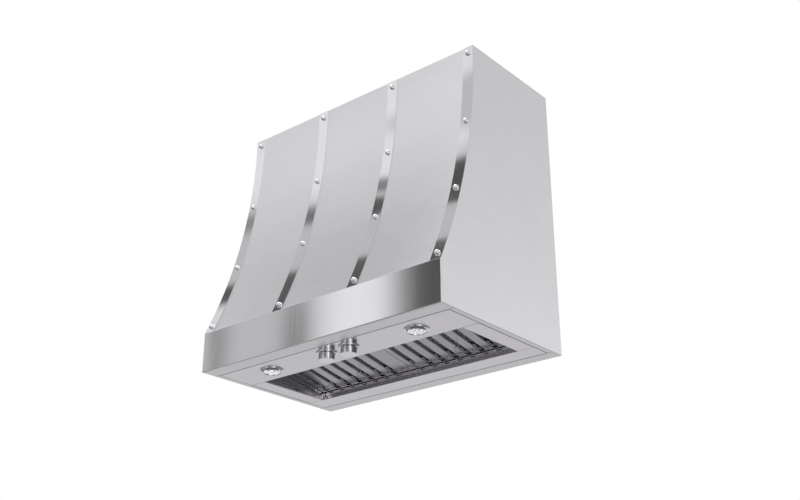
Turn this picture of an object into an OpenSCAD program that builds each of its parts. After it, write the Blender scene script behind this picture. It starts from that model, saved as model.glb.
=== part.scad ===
/* [Shell] */
// Width over the two side panels
hood_width = 914.4; // [700:0.1:1300]
// Depth from the wall to the face of the apron
hood_depth = 564; // [400:1:700]
// Height of the sheet-metal shell
hood_height = 864; // [600:1:1200]
// Setback of the top front edge behind the apron's face
top_setback = 174.5; // [60:0.5:300]
// Thickness of the stainless sheet
sheet = 1.2; // [0.8:0.1:2]
// Overrun of a cut past the face it goes through
overrun = 1; // [0.5:0.5:5]
// Clearance between neighbouring sheet edges
seam = 0.3; // [0.1:0.1:1]
// Height of the up-turned lips and stiffening flanges
lip = 15; // [8:1:30]
// Width of the inner flanges of the shell
shell_flange = 22; // [12:1:40]

/* [Apron, straps and studs] */
// Height of the polished apron
apron_height = 123.6; // [60:0.1:200]
// Distance the apron stands in front of the skin
apron_proud = 3; // [2:0.1:8]
// Width of a strap
strap_width = 37; // [20:1:60]
// Thickness of a strap
strap_gauge = 2; // [1:0.1:5]
// Distance of the outer stud from the end of its strap
stud_inset = 22; // [10:1:60]
// Radius of the stud's flat collar
stud_collar_r = 8; // [4:0.1:12]
// Height of the stud's flat collar
stud_collar_h = 1.6; // [0.5:0.1:4]
// Radius of the stud's ball
stud_ball_r = 7.2; // [3:0.1:12]
// Height of the ball's centre over the strap
stud_ball_lift = 2.6; // [0:0.1:8]
// Radius of the stud's shank
stud_shank_r = 2; // [1:0.1:4]
// Length of the stud's shank behind the strap
stud_shank = 9; // [4:0.5:20]
// Radius of the stud's nut
stud_nut_r = 4; // [2.5:0.1:8]
// Thickness of the stud's nut
stud_nut_h = 3; // [1:0.1:6]

/* [Underside] */
// Depth of the front strip of the rim
rim_front = 55; // [20:0.5:120]
// Width of the side strips of the rim
rim_side = 19; // [10:0.5:60]
// Depth of the rear strip of the rim
rim_rear = 47; // [20:0.5:120]
// Gap seen between the rim and the liner
liner_gap = 0.9; // [0.3:0.1:4]
// Length of the hook that hangs the liner over the rim's lip
hook = 5; // [2:0.5:12]
// Distance of the filter opening's side edges from the hood's sides
opening_side = 76.2; // [40:0.1:160]
// Distance of the opening's front edge behind the apron's face
opening_front = 189; // [100:1:300]
// Distance of the opening's rear edge from the wall
opening_from_wall = 115; // [60:1:200]
// Height of the rear wall of the recess
recess_rear = 18; // [8:0.5:60]

/* [Filters] */
// Slope of the filters, low at the rear
filter_angle = 11.3; // [0:0.1:30]
// Height of the filter's lower face over the opening's rear edge
filter_rise = 24.7; // [10:0.1:60]
// Depth of the filters' rear ends behind the opening's rear edge
filter_rear_cover = 13; // [5:0.5:25]
// Depth of the filters' front ends that the control panel covers
filter_front_cover = 11; // [4:0.5:30]
// Clearance between a filter and the opening's side
filter_side_gap = 0.7; // [0.3:0.1:4]
// Thickness of a filter
filter_depth = 24; // [12:0.5:50]
// Gap between the two filters
filter_gap = 1; // [0.4:0.1:4]
// Thickness of the filter's sheet
vane_sheet = 0.8; // [0.5:0.1:1.5]
// Width of the frame's side lips
frame_lip = 8; // [4:0.5:20]
// Width of the frame's lower end lips
frame_end_lip = 15; // [6:0.5:30]
// Width of the frame's upper end lips
frame_cover_lip = 32; // [10:0.5:60]
// Distance of the outer vanes from the filter's sides
vane_side = 7.1; // [2:0.1:20]
// Width of a vane
vane_width = 31.7; // [10:0.1:60]
// Height of the lower vanes' walls
lower_wall = 11; // [4:0.5:20]
// Height of the upper vanes' walls
upper_wall = 16; // [4:0.5:20]
// Radius of the vanes' long bends
vane_bend = 3; // [1:0.1:6]
// Length of the slanted rear end of the lower vanes' walls
vane_slant = 24; // [5:0.5:60]
// Distance of the upper vanes' rear end from the filter's end
upper_short = 29; // [10:0.5:60]
// Length of the drain slots in the frame's rear wall
drain_length = 14; // [5:0.5:25]
// Height of the drain slots
drain_height = 5; // [2:0.5:10]
// Distance of the pull from the filter's rear end
pull_from_rear = 78.5; // [20:0.5:200]
// Radius of the pull's foot
pull_foot_r = 6; // [3:0.1:12]
// Height of the pull's foot
pull_foot_h = 1.5; // [0.5:0.1:4]
// Radius of the pull's stem
pull_stem_r = 2.6; // [1:0.1:6]
// Height of the pull over the vane
pull_height = 21; // [10:0.5:40]
// Radius of the pull's head
pull_head_r = 6.5; // [3:0.1:12]
// Height of the pull's head
pull_head_h = 8; // [2:0.5:20]
// Clearance between a filter and what it rests and slides on
slide_gap = 0.2; // [0.1:0.05:0.5]
// Forward travel that clears a filter's rear end from its ledge
filter_travel = 16; // [8:0.5:60]
// Clearance left in front of a filter at the end of its travel
travel_spare = 5.2; // [1:0.1:20]

/* [Filter supports] */
// Distance of the plenum's rear wall from the wall
plenum_from_wall = 84; // [30:1:200]
// Height of the grease trough's front wall
trough_front = 15; // [5:0.5:40]
// Height of the grease trough's back wall
trough_back = 40; // [10:0.5:80]
// Width of a filter rest
rest_width = 20; // [8:0.5:60]
// Distance of a rest from its filter's centre line
rest_offset = 95; // [20:1:170]
// Height of the stop on a filter rest
rest_stop = 12; // [4:0.5:24]
// Depth of the foot of a filter rest
rest_foot = 14; // [6:0.5:30]
// Thickness of the plenum's stays
stay_sheet = 2; // [1:0.1:4]
// Width of the plenum's stays
stay_width = 40; // [15:1:80]
// Distance of the plenum's stays from the centre line
stay_offset = 250; // [60:1:360]
// Distance of the plenum's stays below its top
stay_drop = 40; // [20:1:200]

/* [Lamps] */
// Distance of a lamp from the centre line
lamp_offset = 279.5; // [100:0.5:400]
// Distance of the lamps behind the apron's face
lamp_back = 121; // [70:0.5:170]
// Radius of the lamp hole in the panel
lamp_hole_r = 30.2; // [15:0.1:50]
// Radius of the trim ring against the panel
trim_r = 37; // [20:0.1:60]
// Radius of the trim ring's lower rim
trim_low_r = 28.6; // [15:0.1:50]
// Drop of the trim ring under the panel
trim_drop = 7.5; // [2:0.1:20]
// Straight height of the trim ring's edge
trim_edge = 1.2; // [0.4:0.1:4]
// Radius of the lens
lens_r = 26; // [10:0.1:45]
// Thickness of the lens's rim
lens_rim = 3; // [1:0.1:6]
// Bulge of the lens
lens_bulge = 3.2; // [0:0.1:10]
// Radius of the lamp can
can_r = 29.5; // [12:0.1:48]
// Height of the lamp can over the panel
can_height = 46; // [20:1:90]
// Thickness of the can's wall
can_wall = 1; // [0.5:0.1:3]
// Width of a spring clip of a lamp can
clip_width = 10; // [4:0.5:20]
// Reach of a spring clip past the can
clip_reach = 9; // [3:0.5:20]
// Thickness of a spring clip
clip_sheet = 0.8; // [0.4:0.1:2]

/* [Controls] */
// Distance of a knob from the centre line
knob_offset = 42.4; // [25:0.1:120]
// Distance of the knobs behind the apron's face
knob_back = 108; // [70:0.5:170]
// Radius of a knob
knob_r = 23.8; // [10:0.1:40]
// Height of a knob
knob_height = 19.6; // [8:0.1:40]
// Radius of the round on a knob's rim
knob_round = 1; // [0.2:0.1:4]
// Radius of a bezel
bezel_r = 32.2; // [15:0.1:50]
// Thickness of a bezel
bezel_drop = 2.6; // [1:0.1:8]
// Bevel of a bezel's edge
bezel_bevel = 1.2; // [0.2:0.1:4]
// Running gap between a knob and its bezel
knob_gap = 0.6; // [0.2:0.1:3]
// Radius of a switch's threaded bush
bush_r = 4.7; // [2:0.1:8]
// Radius of a switch's spindle
spindle_r = 3; // [1.5:0.1:6]
// Running clearance round a spindle or shaft
running = 0.06; // [0.02:0.01:0.1]
// Distance from a spindle's axis to its flat
spindle_flat = 1.6; // [0.5:0.1:5]
// Length of a spindle inside its knob
spindle_grip = 13; // [5:0.5:30]
// Radius of a nut across its corners
nut_r = 8; // [4:0.1:15]
// Thickness of a nut
nut_height = 2; // [1:0.1:6]
// Radius of the room for the nut in bezel and knob
nut_room_r = 9; // [5:0.1:16]
// Width of a switch body
switch_size = 32; // [15:0.5:60]
// Height of a switch body
switch_height = 24; // [10:0.5:60]
// Height of the bush's thread under the panel
bush_drop = 3.6; // [1:0.1:8]
// Width of a switch's terminal
tab_width = 6.3; // [2:0.1:10]
// Height of a switch's terminal
tab_height = 9; // [3:0.5:20]

/* [Blower] */
// Clearance between the scroll and the plenum's front wall
scroll_front_gap = 17.6; // [8:0.1:60]
// Clearance between the scroll and the plenum's rear wall
scroll_rear_gap = 22.8; // [8:0.1:60]
// Clearance between the scroll and the filters' highest edge
scroll_low_gap = 26.4; // [10:0.1:80]
// Height of the scroll's neck under the plenum's top
scroll_neck = 52; // [20:1:120]
// Clearance between the wheel and the scroll where it is tightest
wheel_gap = 16; // [6:0.5:40]
// Half width of the wheel
wheel_half = 78; // [30:1:150]
// Depth of a blade
blade_depth = 15; // [5:0.5:40]
// Thickness of a blade
blade_sheet = 0.8; // [0.4:0.1:2]
// Lean of a blade
blade_lean = 35; // [0:1:60]
// Number of blades in each half
blade_count = 32; // [12:1:60]
// Thickness of the wheel's disc and rings
wheel_sheet = 1.5; // [0.5:0.1:4]
// Radius of the wheel's hub
hub_r = 14; // [8:0.5:40]
// Half length of the wheel's hub
hub_half = 16; // [5:0.5:40]
// Radius of the motor's shaft
shaft_r = 4; // [2:0.1:10]
// Growth of the scroll's radius in a quarter turn
scroll_growth = 16; // [4:1:40]
// Half width of the scroll
scroll_half = 86; // [40:1:160]
// Clearance between an inlet's mouth and the blades' inner edges
inlet_gap = 1; // [0.5:0.1:6]
// Depth of the inlet rings' mouth
inlet_mouth = 12; // [4:0.5:30]
// Radius of the motor as a share of the inlets' radius
motor_share = 0.619; // [0.3:0.001:0.8]
// Distance of the motor's face from the wheel's disc
motor_start = 40; // [10:1:120]
// Length of the motor
motor_length = 96; // [40:1:160]
// Radius of the motor's bearing boss
boss_r = 12; // [6:0.5:30]
// Length of the motor's bearing boss
boss_length = 8; // [2:0.5:20]
// Width of an arm of the motor bracket
arm_width = 16; // [6:0.5:40]
// Thickness of the motor bracket
arm_sheet = 2; // [1:0.1:5]
// Distance of the bracket's arms' ends inside the scroll's first radius
arm_gap = 6; // [2:0.5:20]

/* [Duct and dampers] */
// Clearance between the riser duct and the plane of the plenum's rear wall
duct_rear_gap = 4.4; // [1:0.1:40]
// Outer radius of the riser duct
duct_r = 101.6; // [60:0.1:160]
// Thickness of the duct's sheet
duct_sheet = 0.8; // [0.5:0.1:2]
// Width of the ducts' flanges
duct_flange = 16; // [6:0.5:40]
// Clearance of the collar in the riser and in the top panel
collar_clear = 0.3; // [0.1:0.1:2]
// Step by which the collar's lower end is narrower than its upper end
collar_step = 1; // [0.6:0.1:3]
// Length of the collar inside the riser
collar_in = 26; // [10:1:80]
// Height of the collar over the top panel
collar_out = 50; // [20:1:120]
// Height of the damper's pin over the top panel
damper_height = 20; // [5:1:60]
// Radius of the damper's pin
pin_r = 2; // [1:0.1:5]
// Clearance of the flaps in the collar
flap_clear = 1.4; // [0.5:0.1:4]
// Radius of the flaps' knuckles
knuckle_r = 3.4; // [1.5:0.1:8]
// Length of a knuckle
knuckle_length = 25; // [8:0.5:60]
// Clearance between neighbouring knuckles
knuckle_clear = 1; // [0.3:0.1:4]
// Depth of the stops under the flaps
stop_depth = 8; // [3:0.5:20]
// Width of the stops under the flaps
stop_width = 14; // [4:0.5:40]

/* [Wall fixing and electrics] */
// Width between the wall-fixing holes
fixing_width = 406.4; // [200:0.1:800]
// Distance of the upper wall-fixing holes below the top
fixing_top = 74; // [50:1:200]
// Height of the lower wall-fixing holes
fixing_low = 190; // [80:1:400]
// Radius of the wall-fixing holes
fixing_r = 4.5; // [2:0.1:8]
// Width of a stiffening rail
rail_width = 60; // [30:1:120]
// Height of a stiffening rail's channel
rail_height = 14; // [6:1:40]
// Width of the junction box
box_width = 110; // [50:1:200]
// Depth of the junction box
box_depth = 75; // [40:1:150]
// Height of the junction box
box_height = 45; // [25:1:100]
// Distance of the junction box's near side from the centre line
box_from_centre = 200; // [130:1:330]
// Distance of the junction box's front from the wall
box_from_wall = 234; // [100:1:350]
// Radius of the cable hole in the top panel
cable_hole_r = 11; // [5:0.5:25]
// Radius of the gland's bore
gland_bore_r = 6.5; // [3:0.1:20]
// Distance of the cable hole from the centre line
cable_offset = 240; // [130:1:420]
// Distance of the cable hole from the wall
cable_from_wall = 84; // [30:1:200]
// Height of the gland's parts
gland_part = 7; // [3:0.5:20]
// Radius of the gland's nuts
gland_nut_r = 16; // [8:0.5:40]

/* [Rivets] */
// Radius of a rivet's head
rivet_head_r = 4; // [2:0.1:8]
// Height of a rivet's head
rivet_head_h = 1.4; // [0.6:0.1:5]
// Radius of a rivet's body
rivet_r = 2; // [1:0.1:4]

/* [Hidden] */
$fn = 72;
quarter = 90;
half_turn = 180;
full_turn = 360;
fine = 360;
third = full_turn / 3;

half_width = hood_width / 2;
inner_half = half_width - sheet;
arc_run = top_setback - apron_proud;
arc_rise = hood_height - apron_height;
skin_r = (arc_run * arc_run + arc_rise * arc_rise) / (2 * arc_run);
arc_y = back(top_setback) - skin_r;
arc_sweep = asin(arc_rise / skin_r);
strap_length = skin_r * arc_sweep * PI / half_turn;
stud_pitch = (strap_length - 2 * stud_inset) / 3;
strap_outer_x = half_width - strap_width / 2;
strap_inner_x = strap_outer_x / 3;
strap_places = [-strap_outer_x, -strap_inner_x, strap_inner_x, strap_outer_x];
liner_half = half_width - rim_side - liner_gap;
liner_start = rim_front + liner_gap;
liner_end = hood_depth - rim_rear - liner_gap;
opening_half = half_width - opening_side;
opening_rear = hood_depth - opening_from_wall;
filter_slope = tan(filter_angle);
filter_width = opening_half - filter_gap / 2 - filter_side_gap;
filter_x = (filter_width + filter_gap) / 2;
filter_rear = opening_rear + filter_rear_cover;
filter_front = opening_front - filter_front_cover;
filter_length = (filter_rear - filter_front) / cos(filter_angle);
filter_top = seat(filter_rear) + filter_length * sin(filter_angle) + filter_depth * cos(filter_angle);
seat_drop = sheet / cos(filter_angle);
rail_front_wall = filter_front - (filter_travel + travel_spare) * cos(filter_angle);
plenum_front = rail_front_wall - sheet;
plenum_rear = hood_depth - plenum_from_wall;
scroll_room = plenum_rear - rail_front_wall - scroll_front_gap - scroll_rear_gap;
scroll_r = (scroll_room - 2 * sheet - 3 * scroll_growth) / 2;
wheel_back = rail_front_wall + scroll_front_gap + sheet + scroll_r + scroll_growth / 2;
wheel_height = filter_top + scroll_low_gap + sheet + scroll_r + 3 * scroll_growth / 2;
wheel_r = scroll_r - wheel_gap;
inlet_r = wheel_r - blade_depth - inlet_gap;
motor_r = inlet_r * motor_share;
arm_r = scroll_r - arm_gap;
plenum_top = wheel_height + scroll_r - scroll_growth / 2 + scroll_neck;
stay_height = plenum_top - stay_drop;
duct_back = plenum_rear - duct_rear_gap - duct_r;
cable_back = hood_depth - cable_from_wall;
box_back = hood_depth - box_from_wall;
fixing_height = hood_height - fixing_top - fixing_low;
rivet_clear = 6 * sheet;
rivet_shares = [0.1, 0.26, 0.42, 0.58, 0.74, 0.9];
front_knuckle_shares = [-2.4, 1.4];
rear_knuckle_shares = [-1.4, 2.4];
knuckle_step = knuckle_length + knuckle_clear;
lower_count = 8;
vane_pitch = (filter_width - 2 * vane_side - vane_width) / (lower_count - 1);
collar_r = duct_r - duct_sheet - collar_clear;
flap_r = collar_r - duct_sheet - flap_clear;
scroll_low_y = -scroll_growth / 2;
scroll_rear_y = scroll_growth / 2 + scroll_r + 2 * scroll_growth;
knob_top = bezel_drop + knob_gap;
pin_level = hood_height + damper_height;
trough_y = opening_rear + sheet;
rest_y = trough_y + 2 * sheet;

function back(d) = d - hood_depth;
function seat(d) = filter_rise + (opening_rear - d) * filter_slope;

module block(lo, hi) {
    translate(lo) cube(hi - lo);
}

module along_x(width) {
    rotate([quarter, 0, quarter]) linear_extrude(height = width, center = true) children();
}

module both_sides() {
    children();
    mirror([1, 0, 0]) children();
}

module at_slope() {
    translate([0, back(filter_rear), seat(filter_rear)])
        rotate([-filter_angle, 0, 0]) children();
}

// Shell

module arc_band(inner, thickness, top) {
    intersection() {
        translate([arc_y, hood_height]) difference() {
            circle(r = inner + thickness, $fn = fine);
            circle(r = inner, $fn = fine);
        }
        translate([back(0), apron_height])
            square([top_setback + thickness + lip, top - apron_height]);
    }
}

module front_skin() {
    color("silver") difference() {
        along_x(2 * inner_half) {
            arc_band(skin_r, sheet, hood_height);
            translate([back(apron_proud), 0]) square([sheet, apron_height + sheet / 2]);
            translate([back(apron_proud), 0]) square([rim_front - apron_proud, sheet]);
            translate([back(rim_front) - sheet, 0]) square([sheet, lip]);
        }
        for (x = strap_places) at_studs(x)
            cylinder(h = 4 * strap_gauge, r = stud_shank_r, center = true);
    }
}

module side_outline() {
    difference() {
        translate([back(apron_proud), 0]) square([hood_depth - apron_proud, hood_height]);
        translate([arc_y, hood_height]) circle(r = skin_r, $fn = fine);
    }
}

module side_panel() {
    translate([half_width - sheet / 2, 0, 0]) along_x(sheet) side_outline();
    block([half_width - rim_side, back(rim_front) + seam, 0],
        [inner_half + sheet / 2, -rim_rear - seam, sheet]);
    block([half_width - rim_side, back(rim_front) + seam, 0],
        [half_width - rim_side + sheet, -rim_rear - seam, lip]);
    difference() {
        block([inner_half - shell_flange, -2 * sheet, lip],
            [inner_half + sheet / 2, -sheet, hood_height - 2 * sheet]);
        at_rivets() cylinder(h = rivet_clear, r = rivet_r, center = true);
    }
}

module side_panel_right() {
    color("silver") side_panel();
}

module side_panel_left() {
    color("silver") mirror([1, 0, 0]) side_panel();
}

module fixing_holes(radius) {
    for (x = [-fixing_width / 2, fixing_width / 2], z = [fixing_low, fixing_low + fixing_height])
        translate([x, overrun, z]) rotate([quarter, 0, 0])
            cylinder(h = rail_height + 2 * overrun + sheet, r = radius);
}

module back_panel() {
    color("silver") difference() {
        union() {
            block([-inner_half, -sheet, 0], [inner_half, 0, hood_height]);
            block([-inner_half, -rim_rear, 0], [inner_half, 0, sheet]);
            block([-inner_half, -rim_rear, 0], [inner_half, -rim_rear + sheet, lip]);
        }
        fixing_holes(fixing_r);
        at_rivets() cylinder(h = rivet_clear, r = rivet_r, center = true);
    }
}

module wall_rails() {
    color("gray") difference() {
        for (z = [fixing_low, fixing_low + fixing_height]) {
            translate([0, 0, z]) difference() {
                block([-inner_half + shell_flange + seam, -sheet - rail_height, -rail_width / 2],
                    [inner_half - shell_flange - seam, -sheet, rail_width / 2]);
                block([-half_width, -rail_height, -rail_width / 2 + sheet],
                    [half_width, overrun - sheet, rail_width / 2 - sheet]);
            }
        }
        fixing_holes(fixing_r);
    }
}

module top_panel() {
    skin_back = back(top_setback) + sheet;
    color("silver") difference() {
        union() {
            block([-inner_half, skin_back, hood_height - sheet], [inner_half, -sheet, hood_height]);
            block([-inner_half, skin_back, hood_height - lip],
                [inner_half, skin_back + sheet, hood_height]);
            block([-inner_half + shell_flange + seam, -2 * sheet, hood_height - shell_flange],
                [inner_half - shell_flange - seam, -sheet, hood_height]);
        }
        translate([0, back(duct_back), hood_height - shell_flange])
            cylinder(h = 2 * shell_flange, r = collar_r + collar_clear);
        translate([0, back(duct_back), hood_height - 2 * shell_flange])
            cylinder(h = 2 * shell_flange - sheet, r = duct_r + collar_clear);
        translate([cable_offset, back(cable_back), hood_height - shell_flange])
            cylinder(h = 2 * shell_flange, r = cable_hole_r);
    }
}

module apron() {
    color("silver") difference() {
        block([-half_width, back(0), 0], [half_width, back(apron_proud), apron_height]);
        block([-inner_half, back(sheet), sheet],
            [inner_half, back(apron_proud) + overrun, apron_height - sheet]);
    }
}

// Straps and studs

module strap(x) {
    color("silver") difference() {
        translate([x, 0, 0]) along_x(strap_width)
            arc_band(skin_r - strap_gauge, strap_gauge, hood_height);
        at_studs(x) cylinder(h = 4 * strap_gauge, r = stud_shank_r, center = true);
    }
}

module at_studs(x) {
    for (i = [0:3])
        translate([x, arc_y, hood_height])
            rotate([-(stud_inset + i * stud_pitch) / skin_r * half_turn / PI, 0, 0])
                translate([0, skin_r - strap_gauge, 0]) rotate([quarter, 0, 0]) children();
}

module strap_outer_left() strap(-strap_outer_x);
module strap_inner_left() strap(-strap_inner_x);
module strap_inner_right() strap(strap_inner_x);
module strap_outer_right() strap(strap_outer_x);

module stud() {
    cylinder(h = stud_collar_h, r = stud_collar_r);
    difference() {
        translate([0, 0, stud_ball_lift]) sphere(r = stud_ball_r);
        translate([0, 0, -2 * stud_ball_r]) cylinder(h = 2 * stud_ball_r, r = 2 * stud_ball_r);
    }
    translate([0, 0, -stud_shank]) cylinder(h = stud_shank + stud_collar_h, r = stud_shank_r);
    translate([0, 0, -strap_gauge - sheet - stud_nut_h])
        cylinder(h = stud_nut_h, r = stud_nut_r, $fn = 6);
}

module strap_studs() {
    color("gainsboro") for (x = strap_places) at_studs(x) stud();
}

// Liner

module at_lamps() {
    for (x = [-lamp_offset, lamp_offset]) translate([x, back(lamp_back), 0]) children();
}

module at_knobs() {
    for (x = [-knob_offset, knob_offset]) translate([x, back(knob_back), 0]) children();
}

module control_panel() {
    wall_top = seat(opening_front) - 2 * sheet;
    color("silver") difference() {
        union() {
            block([-liner_half, back(liner_start), 0], [liner_half, back(opening_front), sheet]);
            block([-liner_half, back(liner_start), 0],
                [liner_half, back(liner_start) + sheet, lip + sheet]);
            block([-liner_half, back(rim_front) - hook, lip],
                [liner_half, back(liner_start) + sheet, lip + sheet]);
            block([-opening_half - sheet, back(opening_front) - sheet, 0],
                [opening_half + sheet, back(opening_front), wall_top]);
        }
        at_lamps() cylinder(h = lip, r = lamp_hole_r, center = true);
        at_knobs() cylinder(h = lip, r = bush_r + running, center = true);
    }
}

module liner_rear() {
    color("silver") {
        block([-liner_half, back(opening_rear), 0], [liner_half, back(liner_end), sheet]);
        block([-opening_half - sheet, back(opening_rear), 0],
            [opening_half + sheet, back(opening_rear) + sheet, recess_rear]);
        block([-liner_half, back(liner_end) - sheet, 0],
            [liner_half, back(liner_end), lip + sheet]);
        block([-liner_half, back(liner_end) - sheet, lip],
            [liner_half, -rim_rear + hook, lip + sheet]);
    }
}

module liner_side() {
    start = opening_front + seam;
    stop = opening_rear - seam;
    block([opening_half, back(start), 0], [liner_half, back(stop), sheet]);
    translate([opening_half + sheet / 2, 0, 0]) along_x(sheet)
        polygon([[back(start), 0], [back(stop), 0],
            [back(stop), seat(stop) - sheet], [back(start), seat(start) - sheet]]);
    block([liner_half - sheet, back(start), 0], [liner_half, back(stop), lip + sheet]);
    block([liner_half - sheet, back(start), lip],
        [half_width - rim_side + hook, back(stop), lip + sheet]);
}

module liner_side_right() {
    color("silver") liner_side();
}

module liner_side_left() {
    color("silver") mirror([1, 0, 0]) liner_side();
}

module filter_rail() {
    inner = opening_front - sheet;
    color("silver") along_x(2 * (opening_half + sheet)) {
        polygon([[back(rail_front_wall), seat(rail_front_wall) - seat_drop],
            [back(opening_front), seat(opening_front) - seat_drop],
            [back(opening_front), seat(opening_front)],
            [back(rail_front_wall), seat(rail_front_wall)]]);
        translate([back(inner) - sheet, seat(inner) - lip - sheet]) square([sheet, lip]);
        translate([back(rail_front_wall), seat(rail_front_wall) - seat_drop])
            square([sheet, 2 * lip]);
    }
}

module grease_trough() {
    half = opening_half - seam;
    inner_rear = plenum_rear - sheet;
    color("silver") difference() {
        block([-half, back(trough_y), sheet], [half, back(plenum_rear), trough_back]);
        block([-half + sheet, back(trough_y) + sheet, 2 * sheet],
            [half - sheet, back(inner_rear), trough_back + overrun]);
        block([-half_width, back(trough_y) - overrun, sheet + trough_front],
            [half_width, back(inner_rear), trough_back + overrun]);
    }
}

module filter_rest() {
    foot = 2 * sheet;
    along_x(rest_width) {
        translate([back(rest_y), foot]) square([rest_foot, sheet]);
        polygon([[back(rest_y), foot], [back(rest_y) + sheet, foot],
            [back(rest_y) + sheet, seat(rest_y + sheet)], [back(rest_y), seat(rest_y)]]);
    }
    at_slope() along_x(rest_width) {
        translate([-(filter_rear - rest_y) / cos(filter_angle), -sheet])
            square([(filter_rear - rest_y) / cos(filter_angle) + sheet, sheet]);
        translate([0, -sheet]) square([sheet, rest_stop + sheet]);
    }
}

module filter_rests() {
    color("gray") for (side = [-1, 1], step = [-1, 1])
        translate([side * filter_x + step * rest_offset, 0, 0]) filter_rest();
}

module plenum_side() {
    low = 2 * lip;
    translate([opening_half + 3 * sheet / 2, 0, 0]) along_x(sheet)
        polygon([[back(plenum_front), seat(plenum_front) - low],
            [back(opening_rear), seat(opening_rear) - lip],
            [back(plenum_rear) + sheet, seat(opening_rear) - lip],
            [back(plenum_rear) + sheet, plenum_top - sheet],
            [back(plenum_front), plenum_top - sheet]]);
}

module plenum_roof() {
    half = opening_half + 2 * sheet;
    difference() {
        block([-half, back(plenum_front), plenum_top - sheet],
            [half, back(plenum_rear) + sheet, plenum_top]);
        intersection() {
            translate([0, back(duct_back), plenum_top - lip])
                cylinder(h = 2 * lip, r = duct_r - duct_sheet);
            translate([0, back(wheel_back), plenum_top])
                block([-scroll_half + sheet, scroll_low_y, -lip],
                    [scroll_half - sheet, scroll_rear_y, lip]);
        }
    }
}

module plenum_box() {
    half = opening_half + sheet;
    low = seat(opening_rear) - lip;
    color("silver") {
        both_sides() plenum_side();
        block([-half, back(plenum_front), seat(rail_front_wall) - seat_drop],
            [half, back(plenum_front) + sheet, plenum_top - sheet]);
        block([-half, back(plenum_rear), low],
            [half, back(plenum_rear) + sheet, plenum_top - sheet]);
        plenum_roof();
    }
}

module plenum_stays() {
    color("gray") both_sides() difference() {
        block([stay_offset, back(plenum_rear) + sheet, stay_height],
            [stay_offset + stay_width, -sheet, stay_height + stay_width]);
        block([stay_offset - overrun, back(plenum_rear) + sheet + stay_sheet,
                stay_height + stay_sheet],
            [stay_offset + stay_width + overrun, -sheet - stay_sheet,
                stay_height + stay_width + overrun]);
    }
}

// Filters

module filter_frame() {
    wall = vane_sheet;
    half = filter_width / 2;
    difference() {
        block([-half, -filter_length, 0], [half, 0, filter_depth]);
        block([-half + wall, -filter_length + wall, wall],
            [half - wall, -wall, filter_depth - wall]);
        block([-half + frame_lip, -filter_length + frame_end_lip, -overrun],
            [half - frame_lip, -frame_end_lip, filter_depth / 2]);
        block([-half + frame_lip, -filter_length + frame_cover_lip, filter_depth / 2],
            [half - frame_lip, -frame_cover_lip, filter_depth + overrun]);
        for (i = [0:lower_count - 1])
            translate([(i - (lower_count - 1) / 2) * vane_pitch, 0, 0])
                block([-drain_length / 2, -2 * wall, 2 * wall],
                    [drain_length / 2, overrun, 2 * wall + drain_height]);
    }
}

module channel_2d(width, height) {
    outer = width / 2;
    inner = outer - vane_sheet;
    bend = vane_bend - vane_sheet;
    difference() {
        union() {
            translate([-outer + vane_bend, 0]) square([width - 2 * vane_bend, height]);
            translate([-outer, vane_bend]) square([width, height - vane_bend]);
            for (x = [-outer + vane_bend, outer - vane_bend])
                translate([x, vane_bend]) circle(r = vane_bend, $fn = 48);
        }
        translate([-outer + vane_bend, vane_sheet])
            square([width - 2 * vane_bend, height]);
        translate([-inner, vane_bend]) square([2 * inner, height]);
        for (x = [-outer + vane_bend, outer - vane_bend])
            translate([x, vane_bend]) circle(r = bend, $fn = 48);
    }
}

module lower_vane() {
    length = filter_length - 2 * vane_sheet;
    slant_start = frame_end_lip + vane_slant;
    difference() {
        translate([0, -vane_sheet, vane_sheet]) rotate([quarter, 0, 0])
            linear_extrude(height = length) channel_2d(vane_width, lower_wall);
        translate([0, 0, vane_sheet]) along_x(2 * vane_width)
            polygon([[-slant_start, lower_wall + overrun], [-slant_start, lower_wall],
                [-frame_end_lip, 2 * vane_sheet], [overrun, 2 * vane_sheet],
                [overrun, lower_wall + overrun]]);
    }
}

module upper_vane() {
    length = filter_length - vane_sheet - upper_short;
    translate([0, -filter_length + vane_sheet, filter_depth - vane_sheet])
        rotate([-quarter, 0, 0]) linear_extrude(height = length)
            channel_2d(vane_width, upper_wall);
}

module lower_vanes() {
    for (i = [0:lower_count - 1])
        translate([(i - (lower_count - 1) / 2) * vane_pitch, 0, 0]) lower_vane();
}

module upper_vanes() {
    for (i = [1:lower_count - 1])
        translate([(i - lower_count / 2) * vane_pitch, 0, 0]) upper_vane();
}

module filter_pull() {
    foot = vane_sheet;
    translate([vane_pitch / 2, -pull_from_rear, foot]) rotate([half_turn, 0, 0]) {
        cylinder(h = pull_foot_h, r = pull_foot_r);
        cylinder(h = pull_height, r = pull_stem_r);
        translate([0, 0, pull_height - pull_head_h]) cylinder(h = pull_head_h, r = pull_head_r);
    }
}

module on_left() {
    translate([-filter_x, 0, 0]) at_slope() translate([0, -slide_gap, slide_gap]) children();
}

module on_right() {
    translate([filter_x, 0, 0]) at_slope() translate([0, -slide_gap, slide_gap]) children();
}

module filter_frame_left() color("silver") on_left() filter_frame();
module filter_frame_right() color("silver") on_right() filter_frame();
module lower_vanes_left() color("silver") on_left() lower_vanes();
module lower_vanes_right() color("silver") on_right() lower_vanes();
module upper_vanes_left() color("gray") on_left() upper_vanes();
module upper_vanes_right() color("gray") on_right() upper_vanes();
module filter_pull_left() color("gainsboro") on_left() filter_pull();
module filter_pull_right() color("gainsboro") on_right() filter_pull();

// Lamps

module lamp_trim() {
    rotate_extrude() polygon([[lens_r, 0], [trim_r, 0], [trim_r, -trim_edge],
        [trim_low_r, -trim_drop], [lens_r + sheet / 2, -trim_drop],
        [lens_r, -trim_drop + trim_edge]]);
}

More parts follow.
